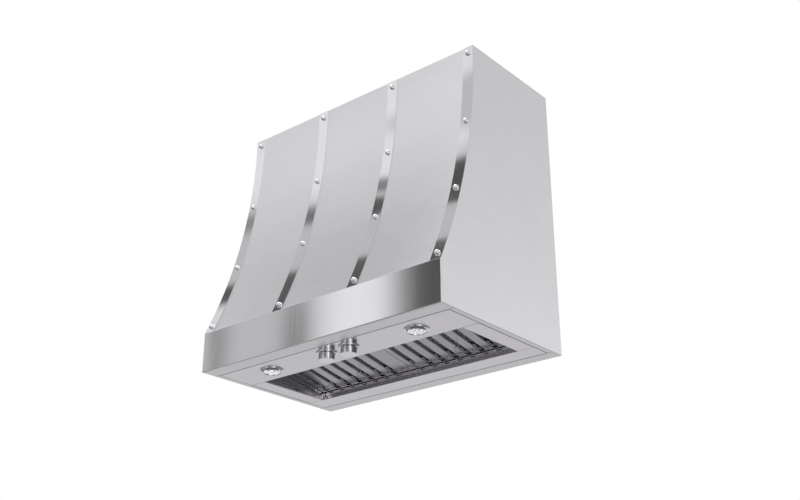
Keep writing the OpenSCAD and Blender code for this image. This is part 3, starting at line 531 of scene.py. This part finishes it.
def close_up(shape: bmesh.types.BMesh, name: str, sharp: float = 35.0) -> bpy.types.Object:
    """Turns a finished shape into an object with smooth faces and crisp edges.

    Args:
        shape: The shape, in metres, which is used up.
        name: The object's name.
        sharp: The angle in degrees from which an edge stays crisp.

    Returns:
        The object.
    """
    bmesh.ops.remove_doubles(shape, verts=shape.verts, dist=WELD)
    bmesh.ops.recalc_face_normals(shape, faces=shape.faces)
    mesh = bpy.data.meshes.new(name)
    shape.to_mesh(mesh)
    shape.free()
    mesh.shade_smooth()
    mesh.set_sharp_from_angle(angle=math.radians(sharp))
    return bpy.data.objects.new(name, mesh)


def flatten(made: bpy.types.Object) -> bpy.types.Object:
    """Keeps wide faces flat to the eye, so that only the bends beside them shade round.

    Args:
        made: The piece, with smooth faces.

    Returns:
        The piece.
    """
    level = made.modifiers.new("flat_faces", "WEIGHTED_NORMAL")
    level.weight, level.keep_sharp = 100, True
    return made


def loft(
    shape: bmesh.types.BMesh, rows: list[list[Vector]], round_rows: bool = False, round_points: bool = False
) -> None:
    """Joins rows of points with faces.

    Args:
        shape: The shape that takes the faces.
        rows: Rows of points in metres, all of one length.
        round_rows: Whether the last row joins the first.
        round_points: Whether each row's last point joins its first.
    """
    made = [[shape.verts.new(place) for place in row] for row in rows]
    for k in range(len(rows) if round_rows else len(rows) - 1):
        here, there = made[k], made[(k + 1) % len(rows)]
        for i in range(len(here) if round_points else len(here) - 1):
            j = (i + 1) % len(here)
            shape.faces.new((here[i], here[j], there[j], there[i]))


def turned(
    name: str, profile: list[tuple[float, float]], centre: tuple[float, float], sides: int = 120
) -> bpy.types.Object:
    """Turns a closed profile round an upright axis.

    Args:
        name: The piece's name.
        profile: Radius and height of each point, in millimetres.
        centre: The axis' X and Y, in millimetres.
        sides: The number of steps round the axis.

    Returns:
        The piece.
    """
    shape = bmesh.new()
    rows = [
        [
            point(centre[0] + radius * math.cos(turn), centre[1] + radius * math.sin(turn), height)
            for radius, height in profile
        ]
        for turn in turns(sides)
    ]
    loft(shape, rows, round_rows=True, round_points=True)
    return close_up(shape, name)


def folded(
    name: str,
    finish: Finish,
    *folds: dict[int, float],
    radius: float = 2.4,
    steps: int = 4,
    rise: tuple[float, float] | None = None,
) -> None:
    """Makes a packed sheet again with its folds rounded, as a press brake leaves them.

    The thin bright and dark lines along the seams come from these bends.

    Args:
        name: The node's name, which the new piece replaces.
        finish: The sheet's finish.
        folds: For each fold the two coordinates that hold along it, in millimetres by axis number.
        radius: The outer radius of the bend in millimetres.
        steps: The number of faces across a bend.
        rise: The height of a free edge, and the height that it is drawn up to, in millimetres.
    """

    def lies_on(edge: bmesh.types.BMEdge, fold: dict[int, float]) -> bool:
        """Tells whether both ends of an edge lie on a fold."""
        return all(abs(end.co[axis] - at * MM) < NEAR for end in edge.verts for axis, at in fold.items())

    shape = bmesh.new()
    shape.from_mesh(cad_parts[name].data)
    if rise:
        low, high = rise
        for corner in shape.verts:
            if abs(corner.co.z - low * MM) < NEAR:
                corner.co.z = high * MM
    bmesh.ops.remove_doubles(shape, verts=shape.verts, dist=WELD)
    bmesh.ops.dissolve_limit(shape, angle_limit=math.radians(FLAT), verts=shape.verts, edges=shape.edges)
    bmesh.ops.bevel(
        shape,
        geom=[edge for edge in shape.edges if any(lies_on(edge, fold) for fold in folds)],
        offset=radius * MM,
        segments=steps,
        profile=0.5,
        affect="EDGES",
        clamp_overlap=False,
    )
    hand_over(flatten(close_up(shape, f"{name}_sheet", sharp=25.0)), finish, CANOPY, name)


@dataclass
class Canopy:
    """The shell: skin, sides, back, top, apron and straps. Sizes are in millimetres."""

    half_width: float = 457.2
    depth: float = 564.0
    apron_height: float = 123.6
    apron_proud: float = 3.0
    apron_bend: float = 1.8
    rim_front: float = 55.0
    rim_side: float = 19.0
    rim_rear: float = 47.0

    def build(self) -> None:
        """Folds the shell's sheets and dresses the rest."""
        dress(SKIN, "top_panel")
        folds = [{1: start - self.depth, 2: 0.0} for start in (self.apron_proud, self.rim_front)]
        folded("front_skin", SKIN, *folds)
        folded("back_panel", SKIN, {1: -self.rim_rear, 2: 0.0})
        for side, sign in HANDS:
            outer, inner = sign * self.half_width, sign * (self.half_width - self.rim_side)
            folded(f"side_panel_{side}", SIDE, {0: outer, 2: 0.0}, {0: inner, 2: 0.0})
        level = [{1: -self.depth, 2: height} for height in (0.0, self.apron_height)]
        upright = [{1: -self.depth, 0: sign * self.half_width} for _, sign in HANDS]
        folded("apron", POLISHED, *level, *upright, radius=self.apron_bend)
        dress(GALVANISED, "wall_rails")
        dress(POLISHED, "strap_outer_left", "strap_inner_left", "strap_inner_right", "strap_outer_right")
        dress(CHROME, "strap_studs")
        dress(ZINC, "panel_rivets")


@dataclass
class Liner:
    """The underside: control panel, rims of the recess, and what carries the filters.

    Sizes are in millimetres. The rear wall of the recess is drawn up from the first height to the second.
    """

    start: float = -508.1
    stop: float = -47.9
    opening_front: float = -375.0
    opening_rear: float = -115.0
    half: float = 437.3
    opening_half: float = 381.0
    rear_wall: tuple[float, float] = (18.0, 22.4)

    def build(self) -> None:
        """Folds the liner's sheets and dresses the rest."""
        folded("control_panel", LINER, {1: self.start, 2: 0.0}, {1: self.opening_front, 2: 0.0})
        rear = [{1: fold, 2: 0.0} for fold in (self.opening_rear, self.stop)]
        folded("liner_rear", LINER, *rear, rise=self.rear_wall)
        for side, sign in HANDS:
            outer, inner = sign * self.half, sign * self.opening_half
            folded(f"liner_side_{side}", LINER, {0: outer, 2: 0.0}, {0: inner, 2: 0.0})
        dress(LINER, "grease_trough")
        dress(GALVANISED, "filter_rail", "filter_rests", "plenum_box", "plenum_stays")


@dataclass
class Filters:
    """The two baffle filters with their pulls. Sizes are in millimetres and angles in degrees.

    A filter is made flat, with X across it, Y from -length at its front end to 0 at its rear end, and Z up.
    It is then laid on its slope, with the foot of its rear end at the Y and Z of rear.
    The lower baffles stand off centre by shift, and the outer ones are narrower and wider by as much.
    """

    slope: float = 11.3
    middle: float = 190.4
    rear: tuple[float, float] = (-102.0, 22.302)
    width: float = 379.8
    length: float = 289.6
    depth: float = 24.0
    gauge: float = 0.8

    side_lip: float = 16.0
    end_lip: float = 18.0
    cover_lip: float = 9.0
    corner: float = 2.0
    corner_steps: int = 4

    count: int = 8
    vane: float = 31.7
    vane_side: float = 7.1
    shift: float = 22.0
    bend: float = 2.6
    bend_steps: tuple[int, int] = (6, 8)
    lower_wall: float = 11.0
    upper_wall: float = 16.0
    upper_short: float = 46.0
    # From the frame's face to the middle of a baffle's sheet, which rests on the frame's lip
    inset_gauges: float = 1.5

    splay: float = 46.0
    splay_steps: int = 24
    splay_angle: float = 24.0
    splay_gap: float = 1.5
    left_loss: float = 0.8
    least_wall: float = 0.1
    # Shares of the splay: where the wall lies open, where its tip starts to round off, and where it ends
    open_share: float = 0.62
    tip_share: float = 0.42
    end_share: float = 0.78

    wire: float = 1.3
    wire_sides: int = 16
    loop: float = 6.2
    loop_steps: int = 12
    loop_top: float = 2.0
    loop_drop: float = 19.0
    loop_back: float = 78.5

    def build(self) -> None:
        """Builds both filters."""
        for side, sign in HANDS:
            body = f"{side}_filter"
            laid = Matrix.Translation(point(sign * self.middle, *self.rear))
            laid = laid @ Matrix.Rotation(math.radians(-self.slope), 4, "X")
            hand_over(self.surround(f"baffle_frame_{side}", laid), BAFFLE, body, f"filter_frame_{side}")
            hand_over(self.lower(f"lower_baffles_{side}", laid), BAFFLE, body, f"lower_vanes_{side}")
            hand_over(self.upper(f"upper_baffles_{side}", laid), BAFFLE_BACK, body, f"upper_vanes_{side}")
            hand_over(self.pull(f"wire_pull_{side}", laid), CHROME, body, f"filter_pull_{side}")

    @property
    def pitch(self) -> float:
        """The distance from one lower baffle to the next."""
        return (self.width - 2 * self.vane_side - self.vane) / (self.count - 1)

    def surround(self, name: str, laid: Matrix) -> bpy.types.Object:
        """Bends the frame: a channel that runs round the filter, open inwards.

        Args:
            name: The piece's name.
            laid: The matrix that lays the filter on its slope.

        Returns:
            The piece.
        """
        gauge, depth, corner = self.gauge, self.depth, self.corner
        profile = []
        for k in range(self.corner_steps + 1):
            turn = k * math.pi / (2 * self.corner_steps)
            inward = corner * (1 - math.cos(turn))
            profile.append((inward, inward, corner * (1 - math.sin(turn))))
        profile += [
            (self.side_lip - gauge, self.end_lip - gauge, 0.0),
            (self.side_lip, self.end_lip, gauge / 2),
            (self.side_lip, self.end_lip, gauge),
            (gauge, gauge, gauge),
            (gauge, gauge, depth - gauge),
            (self.cover_lip, self.cover_lip, depth - gauge),
            (self.cover_lip, self.cover_lip, depth),
            (0.0, 0.0, depth),
        ]
        wide, long = self.width / 2, self.length / 2
        rows = [
            [
                laid @ point(across * (wide - aside), -long + along * (long - inward), height)
                for aside, inward, height in profile
            ]
            for across, along in ((-1, -1), (1, -1), (1, 1), (-1, 1))
        ]
        shape = bmesh.new()
        loft(shape, rows, round_rows=True, round_points=True)
        return flatten(close_up(shape, name))

    def section(self, width: float, left: float, right: float, angle: float) -> list[tuple[float, float]]:
        """Gives a baffle's section through the middle of its sheet, from the left edge to the right one.

        Args:
            width: The width over both walls.
            left: The height of the left wall over its bend.
            right: The length of the right wall beyond its bend.
            angle: How far the right wall is bent up, in degrees.

        Returns:
            X and height of each point, in millimetres.
        """
        reach, bend = width / 2 - self.gauge / 2, self.bend
        left_steps, right_steps = self.bend_steps
        points = [(-reach, bend + left)]
        for k in range(left_steps + 1):
            turn = math.radians(90.0 * k / left_steps)
            points.append((-reach + bend * (1 - math.cos(turn)), bend * (1 - math.sin(turn))))
        for k in range(right_steps + 1):
            turn = math.radians(angle * k / right_steps)
            points.append((reach - bend + bend * math.sin(turn), bend * (1 - math.cos(turn))))
        across, up = points[-1]
        turn = math.radians(angle)
        points.append((across + right * math.cos(turn), up + right * math.sin(turn)))
        return points

    def splayed(self, width: float, share: float) -> list[tuple[float, float]]:
        """Gives a lower baffle's section somewhere along its splayed end.

        Args:
            width: The width over both walls.
            share: The place, from 0 where the splay starts to 1 where it ends.

        Returns:
            X and height of each point, in millimetres.
        """
        wall = self.lower_wall - self.gauge - self.bend
        opened = min(1.0, share / self.open_share)
        eased = opened * opened * (3 - 2 * opened)
        past = max(0.0, (share - self.tip_share) / (self.end_share - self.tip_share))
        tip = math.sqrt(max(0.0, 1 - past**2))
        left, right = wall * (1 - self.left_loss * share), max(self.least_wall, wall * tip)
        return self.section(width, left, right, 90 - (90 - self.splay_angle) * eased)

    def span(self, i: int) -> tuple[float, float]:
        """Gives the width of a lower baffle and the X of its middle.

        Args:
            i: The baffle's number, from 0 at the left.

        Returns:
            Width and place, in millimetres.
        """
        reach = self.width / 2 - self.vane_side
        if i == 0:
            return self.vane - self.shift, -reach + (self.vane - self.shift) / 2
        if i == self.count - 1:
            return self.vane + self.shift, reach - (self.vane + self.shift) / 2
        return self.vane, (i - (self.count - 1) / 2) * self.pitch - self.shift

    def lower(self, name: str, laid: Matrix) -> bpy.types.Object:
        """Stamps the lower baffles.

        Towards the rear each right wall is splayed out and ends in a rounded tip. A bright wedge shows there
        beside each gap, with a black hole behind the tip.

        Args:
            name: The piece's name.
            laid: The matrix that lays the filter on its slope.

        Returns:
            The piece.
        """
        shape = bmesh.new()
        floor = self.inset_gauges * self.gauge
        stop = -self.end_lip - self.splay_gap
        spots = [-self.length + self.gauge]
        spots += [stop - self.splay * (1 - k / self.splay_steps) for k in range(self.splay_steps + 1)]
        spots.append(-self.gauge)
        for i in range(self.count):
            width, middle = self.span(i)
            rows = []
            for spot in spots:
                share = min(1.0, max(0.0, 1 - (stop - spot) / self.splay))
                section = self.splayed(width, share)
                rows.append([laid @ point(middle + x, spot, floor + z) for x, z in section])
            loft(shape, rows)
        return self.thicken(close_up(shape, name, sharp=60.0))

    def upper(self, name: str, laid: Matrix) -> bpy.types.Object:
        """Bends the upper baffles, which hang over the gaps with their walls down.

        Args:
            name: The piece's name.
            laid: The matrix that lays the filter on its slope.

        Returns:
            The piece.
        """
        shape = bmesh.new()
        roof = self.depth - self.inset_gauges * self.gauge
        wall = self.upper_wall - self.gauge - self.bend
        section = self.section(self.vane, wall, wall, 90.0)
        for i in range(1, self.count):
            middle = (i - self.count / 2) * self.pitch - self.shift
            ends = (-self.length + self.gauge, -self.upper_short)
            loft(shape, [[laid @ point(middle + x, end, roof - z) for x, z in section] for end in ends])
        return self.thicken(close_up(shape, name, sharp=60.0))

    def thicken(self, made: bpy.types.Object) -> bpy.types.Object:
        """Gives a sheet its gauge, half to each side.

        Args:
            made: The piece, as the middle of its sheet.

        Returns:
            The piece.
        """
        solid = made.modifiers.new("gauge", "SOLIDIFY")
        solid.thickness, solid.offset = self.gauge * MM, 0.0
        return flatten(made)

    def pull(self, name: str, laid: Matrix) -> bpy.types.Object:
        """Bends a pull from one wire: two legs and a round end.

        Args:
            name: The piece's name.
            laid: The matrix that lays the filter on its slope.

        Returns:
            The piece.
        """
        loop, foot = self.loop, self.loop - self.loop_drop
        path = [(-loop, self.loop_top), (-loop, foot)]
        for k in range(1, self.loop_steps):
            turn = math.pi * k / self.loop_steps
            path.append((-loop * math.cos(turn), foot - loop * math.sin(turn)))
        path += [(loop, foot), (loop, self.loop_top)]
        inward = Vector((0.0, 1.0, 0.0))
        rows = []
        for k, (x, z) in enumerate(path):
            before, after = path[max(0, k - 1)], path[min(len(path) - 1, k + 1)]
            ahead = Vector((after[0] - before[0], 0.0, after[1] - before[1])).normalized()
            aside = Vector((-ahead.z, 0.0, ahead.x))
            middle = Vector((self.pitch / 2 + x, -self.loop_back, z))
            rows.append(
                [
                    laid @ ((middle + self.wire * (math.cos(turn) * aside + math.sin(turn) * inward)) * MM)
                    for turn in turns(self.wire_sides)
                ]
            )
        shape = bmesh.new()
        loft(shape, rows, round_points=True)
        bmesh.ops.holes_fill(shape, edges=shape.edges, sides=self.wire_sides)
        return close_up(shape, name)


@dataclass
class Lamps:
    """The two lamps in the control panel. Sizes are in millimetres."""

    offset: float = 279.5
    back: float = -443.0
    lens: float = 25.0
    seat: float = -5.6
    thickness: float = 1.5
    bulge: float = 2.6
    pillow: float = 0.45
    pillow_pitch: float = 6.2
    sides: int = 120
    rings: int = 34

    def build(self) -> None:
        """Builds both lamps."""
        for side, sign in HANDS:
            centre = (sign * self.offset, self.back)
            hand_over(turned(f"spun_trim_{side}", self.rim(), centre), CHROME, CANOPY, f"lamp_trim_{side}")
            hand_over(self.glass(f"pressed_lens_{side}", centre), LENS, CANOPY, f"lamp_lens_{side}")
            dress(CAST, f"lamp_can_{side}")

    @staticmethod
    def rim() -> list[tuple[float, float]]:
        """Gives the trim's profile: a rolled edge on the panel, a cone to the glass and a thin inner lip."""
        return [
            (26.2, 0.0),
            (36.9, 0.0),
            (37.2, -0.8),
            (37.0, -1.8),
            (36.2, -2.6),
            (34.9, -3.0),
            (33.6, -3.3),
            (28.6, -7.1),
            (27.9, -7.5),
            (27.1, -7.5),
            (26.5, -7.1),
            (26.2, -6.4),
            (25.4, -4.6),
            (25.4, -2.0),
        ]

    def glass(self, name: str, centre: tuple[float, float]) -> bpy.types.Object:
        """Presses the lens: a low dome with pillow facets and a flat back.

        Args:
            name: The piece's name.
            centre: The lamp's X and Y.

        Returns:
            The piece.
        """
        shape = bmesh.new()
        top = self.seat + self.thickness
        rows = []
        for turn in turns(self.sides):
            row = [(0.0, 0.0, top), (self.lens * math.cos(turn), self.lens * math.sin(turn), top)]
            for k in range(self.rings + 1):
                radius = self.lens * (1 - k / self.rings)
                x, y = radius * math.cos(turn), radius * math.sin(turn)
                across, along = (math.sin(math.pi * at / self.pillow_pitch) for at in (x, y))
                drop = self.bulge * (1 - (radius / self.lens) ** 2) + self.pillow * abs(across * along)
                row.append((x, y, self.seat - drop))
            rows.append([point(centre[0] + x, centre[1] + y, z) for x, y, z in row])
        loft(shape, rows, round_rows=True)
        return close_up(shape, name, sharp=50.0)


@dataclass
class Controls:
    """The two knobs, their bezels and the switches behind them. Sizes are in millimetres."""

    offset: float = 42.4
    back: float = -456.0

    def build(self) -> None:
        """Builds both bezels and dresses the rest."""
        for use, sign in (("fan", -1), ("light", 1)):
            ring = turned(f"{use}_spun_bezel", self.dish(), (sign * self.offset, self.back))
            hand_over(ring, CHROME, CANOPY, f"{use}_bezel")
            dress(CHROME, f"{use}_knob")
            dress(ZINC, f"{use}_spindle")
            dress(NYLON, f"{use}_switch")
        dress(ZINC, "switch_nuts")

    @staticmethod
    def dish() -> list[tuple[float, float]]:
        """Gives the bezel's profile: a round bead about a shallow floor that the knob stands over."""
        return [
            (9.2, 0.0),
            (31.9, 0.0),
            (32.1, -0.9),
            (31.8, -2.0),
            (31.0, -3.0),
            (29.8, -3.7),
            (28.3, -4.0),
            (26.8, -3.7),
            (25.6, -3.0),
            (24.8, -2.0),
            (24.5, -1.3),
            (9.2, -1.3),
        ]


@dataclass
class Blower:
    """The fan, its motor and scroll, the duct with its flaps, and the wiring box."""

    def build(self) -> None:
        """Dresses everything above the filters."""
        dress(GALVANISED, "scroll_housing", "inlet_rings", "impeller", "impeller_blades")
        dress(GALVANISED, "riser_duct", "duct_collar")
        dress(GALVANISED, "damper_front", "damper_rear", "junction_box", "junction_cover")
        dress(ZINC, "motor_shaft", "motor_bracket", "damper_pin")
        dress(CAST, "motor_body")
        dress(NYLON, "cable_gland")


@dataclass(frozen=True)
class Card:
    """A bright or dark card that stands far off round the hood.

    Angles are in degrees. A bearing of 0 is straight out from the front and 90 is to the hood's left.
    The card reaches half to both sides of its bearing. Soft and fade are the widths of its upright edges
    and of its level ones.
    """

    bearing: float
    half: float
    low: float
    high: float
    level: float
    soft: float = 2.0
    fade: float = 3.0


@dataclass
class Studio:
    """Camera, floor, lamp and the cards that the steel mirrors, in metres and degrees."""

    eye: tuple[float, float, float] = (2.0875, -2.6786, -1.0357)
    azimuth: float = 39.875
    elevation: float = -23.8405
    roll: float = -0.099
    lens_mm: float = 50.756
    sensor_mm: float = 36.0
    clip: tuple[float, float] = (0.05, 100.0)

    floor_level: float = -1.75
    floor_radius: float = 2.7
    floor_sides: int = 96
    floor_fade: tuple[float, float] = (0.5, 0.98)
    floor_tone: str = "#ECECEC"

    lamp_place: tuple[float, float, float] = (-0.3, -0.7, 3.2)
    lamp_size: float = 1.6
    lamp_watts: float = 30.0

    sky: float = 0.62
    ground: float = 0.66
    horizon: float = 8.0
    cards: tuple[Card, ...] = (
        # Wide panels of a bright room, in front and behind on the left
        Card(0.0, 28.0, 0.0, 75.0, 0.95, soft=10.0, fade=10.0),
        Card(-52.0, 14.0, 4.0, 38.0, 1.2, soft=8.0, fade=8.0),
        Card(63.0, 10.5, 2.0, 27.0, 1.4, soft=5.0, fade=6.0),
        Card(138.0, 40.0, 8.0, 75.0, 0.85, soft=10.0, fade=10.0),
        # Dark things below the hood and one bright one, for all that faces down
        Card(130.0, 38.0, -75.0, -30.0, 0.31, soft=10.0, fade=6.0),
        Card(0.0, 181.0, -95.0, -54.0, 0.13, fade=8.0),
        Card(-134.0, 46.0, -66.0, -8.0, 0.09, soft=10.0, fade=6.0),
        Card(-63.0, 8.0, -76.0, -9.0, 1.6, soft=6.0, fade=6.0),
        Card(-18.5, 11.0, -60.0, -10.0, 0.10, soft=5.0),
        Card(38.0, 8.0, -58.0, -10.0, 0.08, soft=5.0),
        Card(72.0, 18.0, -60.0, -8.0, 0.15, soft=7.0),
        Card(106.0, 9.0, -34.0, -5.0, 0.12, soft=6.0, fade=6.0),
        # Bands high up to the front left, for the straps
        Card(46.0, 11.0, 29.0, 47.0, 0.95, soft=6.0, fade=5.0),
        Card(40.5, 5.5, 37.5, 47.5, 0.62, soft=3.0, fade=3.0),
        Card(59.4, 1.5, 27.0, 60.0, 0.30, soft=2.4, fade=6.0),
        Card(59.6, 1.3, 40.6, 60.0, 0.19, soft=1.8, fade=3.0),
        Card(59.4, 1.8, 44.6, 60.0, 0.095, soft=1.4, fade=2.0),
        Card(54.6, 3.4, 47.8, 60.0, 0.095, soft=2.2, fade=1.6),
        Card(55.2, 1.3, 43.2, 46.4, 0.22, soft=1.5, fade=1.4),
        Card(73.2, 2.0, 30.0, 46.0, 0.10, soft=1.6, fade=3.0),
        Card(76.8, 5.4, 45.0, 60.0, 0.12, soft=1.6, fade=2.0),
        Card(84.0, 8.0, 30.0, 44.5, 0.85, soft=2.0, fade=2.0),
        # Bands a little over the horizon, for the apron
        Card(49.35, 0.35, 8.0, 25.0, 0.40, soft=0.6),
        Card(49.75, 0.15, 8.0, 25.0, 0.12, soft=0.16),
        Card(45.4, 0.7, 8.0, 22.0, 0.24, soft=1.2, fade=6.0),
        Card(42.2, 1.9, 14.0, 27.0, 1.0, soft=3.0, fade=10.0),
        Card(35.0, 4.75, 2.0, 30.0, 0.10, soft=2.6, fade=6.0),
        # The room behind on the right, for the right side
        Card(-140.0, 45.0, -4.0, 20.0, 0.95, soft=30.0, fade=22.0),
    )

    def build(self) -> None:
        """Sets the stage."""
        self.camera()
        self.floor()
        self.world()
        self.lamp()

    def camera(self) -> None:
        """Places the camera where the photograph's was."""
        around, rise, turn = map(math.radians, (self.azimuth, self.elevation, self.roll))
        flat = math.cos(rise)
        back = Vector((math.sin(around) * flat, -math.cos(around) * flat, math.sin(rise)))
        right = Vector((math.cos(around), math.sin(around), 0.0))
        up = back.cross(right)
        cos, sin = math.cos(turn), math.sin(turn)
        right, up = right * cos + up * sin, up * cos - right * sin
        data = bpy.data.cameras.new("camera")
        data.lens, data.sensor_width = self.lens_mm, self.sensor_mm
        data.clip_start, data.clip_end = self.clip
        holder = bpy.data.objects.new("camera", data)
        holder.matrix_world = Matrix.Translation(self.eye) @ Matrix((right, up, back)).transposed().to_4x4()
        bpy.context.scene.collection.objects.link(holder)
        bpy.context.scene.camera = holder

    def floor(self) -> None:
        """Lays a pale round floor whose edge fades out."""
        radius = self.floor_radius
        ring = [
            (radius * math.cos(turn), radius * math.sin(turn), self.floor_level)
            for turn in turns(self.floor_sides)
        ]
        mesh = bpy.data.meshes.new("floor")
        mesh.from_pydata(ring, [], [tuple(range(self.floor_sides))])
        laid = bpy.data.objects.new("floor", mesh)
        bpy.context.scene.collection.objects.link(laid)
        material = bpy.data.materials.new("matt_white_floor")
        material.use_nodes = True
        tree = material.node_tree
        tree.nodes.clear()
        where = add(tree, "TexCoord")
        level = {"operation": "MULTIPLY", 1: (1.0, 1.0, 0.0)}
        spread = add(tree, "VectorMath", level, {0: where.outputs["Object"]})
        reach = add(tree, "VectorMath", {"operation": "LENGTH"}, {0: spread.outputs[0]})
        near, far = self.floor_fade
        edge = add(
            tree,
            "MapRange",
            {"interpolation_type": "SMOOTHSTEP", "From Min": radius * near, "From Max": radius * far},
            {"Value": reach.outputs["Value"]},
        )
        # Mirrors don't see the floor, so that they show the cards alone
        glossy = add(tree, "LightPath").outputs["Is Glossy Ray"]
        hidden = add(tree, "Math", {"operation": "MAXIMUM"}, {0: edge.outputs[0], 1: glossy})
        matt = add(tree, "BsdfDiffuse", {"Color": linear(self.floor_tone)})
        clear = add(tree, "BsdfTransparent")
        faded = add(tree, "MixShader", {}, {0: hidden.outputs[0], 1: matt.outputs[0], 2: clear.outputs[0]})
        add(tree, "OutputMaterial", links={"Surface": faded.outputs[0]})
        mesh.materials.append(material)

    def world(self) -> None:
        """Builds the white background and the cards round the hood."""
        world = bpy.data.worlds.new("studio")
        bpy.context.scene.world = world
        world.use_nodes = True
        tree = world.node_tree
        tree.nodes.clear()
        where = add(tree, "TexCoord")
        apart = add(tree, "SeparateXYZ", {}, {0: where.outputs["Generated"]})
        left, front = (
            add(tree, "Math", {"operation": "MULTIPLY", 1: -1.0}, {0: apart.outputs[axis]}).outputs[0]
            for axis in (0, 1)
        )
        turn = add(tree, "Math", {"operation": "ARCTAN2"}, {0: left, 1: front})
        tilt = add(tree, "Math", {"operation": "ARCSINE"}, {0: apart.outputs[2]})
        bearing, height = (
            add(tree, "Math", {"operation": "DEGREES"}, {0: angle.outputs[0]}).outputs[0]
            for angle in (turn, tilt)
        )
        level = add(
            tree,
            "MapRange",
            {
                "From Min": -self.horizon,
                "From Max": self.horizon,
                "To Min": self.ground,
                "To Max": self.sky,
            },
            {"Value": height},
        ).outputs[0]
        for card in self.cards:
            level = self.card(tree, card, bearing, height, level)
        lit = add(tree, "Background", {"Color": WHITE}, {"Strength": level})
        white = add(tree, "Background", {"Color": WHITE, "Strength": 1.0})
        seen = add(tree, "LightPath").outputs["Is Camera Ray"]
        shown = add(tree, "MixShader", {}, {0: seen, 1: lit.outputs[0], 2: white.outputs[0]})
        add(tree, "OutputWorld", links={"Surface": shown.outputs[0]})

    @staticmethod
    def card(
        tree: bpy.types.NodeTree,
        card: Card,
        bearing: bpy.types.NodeSocket,
        height: bpy.types.NodeSocket,
        level: bpy.types.NodeSocket,
    ) -> bpy.types.NodeSocket:
        """Stands one card in front of those before it.

        Args:
            tree: The world's tree.
            card: The card.
            bearing: The bearing of the direction that is looked in.
            height: Its height over the horizon.
            level: The brightness that the cards before this one give.

        Returns:
            The brightness with this card.
        """
        middle, reach = (card.low + card.high) / 2, (card.high - card.low) / 2
        sides = (bearing, card.bearing, card.half, card.soft), (height, middle, reach, card.fade)
        shares = []
        for angle, centre, half, soft in sides:
            off = add(tree, "Math", {"operation": "SUBTRACT", 1: centre}, {0: angle})
            away = add(tree, "Math", {"operation": "ABSOLUTE"}, {0: off.outputs[0]})
            inside = {
                "interpolation_type": "SMOOTHSTEP",
                "From Min": half + soft / 2,
                "From Max": half - soft / 2,
            }
            shares.append(add(tree, "MapRange", inside, {"Value": away.outputs[0]}).outputs[0])
        share = add(tree, "Math", {"operation": "MULTIPLY"}, {0: shares[0], 1: shares[1]})
        mixed = add(tree, "Mix", {"data_type": "FLOAT", 3: card.level}, {0: share.outputs[0], 2: level})
        return mixed.outputs[0]

    def lamp(self) -> None:
        """Hangs one wide soft lamp over the hood, which shades the floor and the top."""
        data = bpy.data.lights.new("overhead_softbox", "AREA")
        data.shape, data.size = "DISK", self.lamp_size
        data.energy = self.lamp_watts
        hung = bpy.data.objects.new("overhead_softbox", data)
        hung.location = self.lamp_place
        bpy.context.scene.collection.objects.link(hung)


def main() -> None:
    logging.basicConfig(level=logging.INFO, format="%(name)s: %(message)s")
    bpy.context.scene.view_settings.view_transform = "Standard"
    for part in (Canopy(), Liner(), Filters(), Lamps(), Controls(), Blower(), Studio()):
        part.build()
        LOG.info("%s is done", type(part).__name__)


if __name__ == "__main__":
    main()
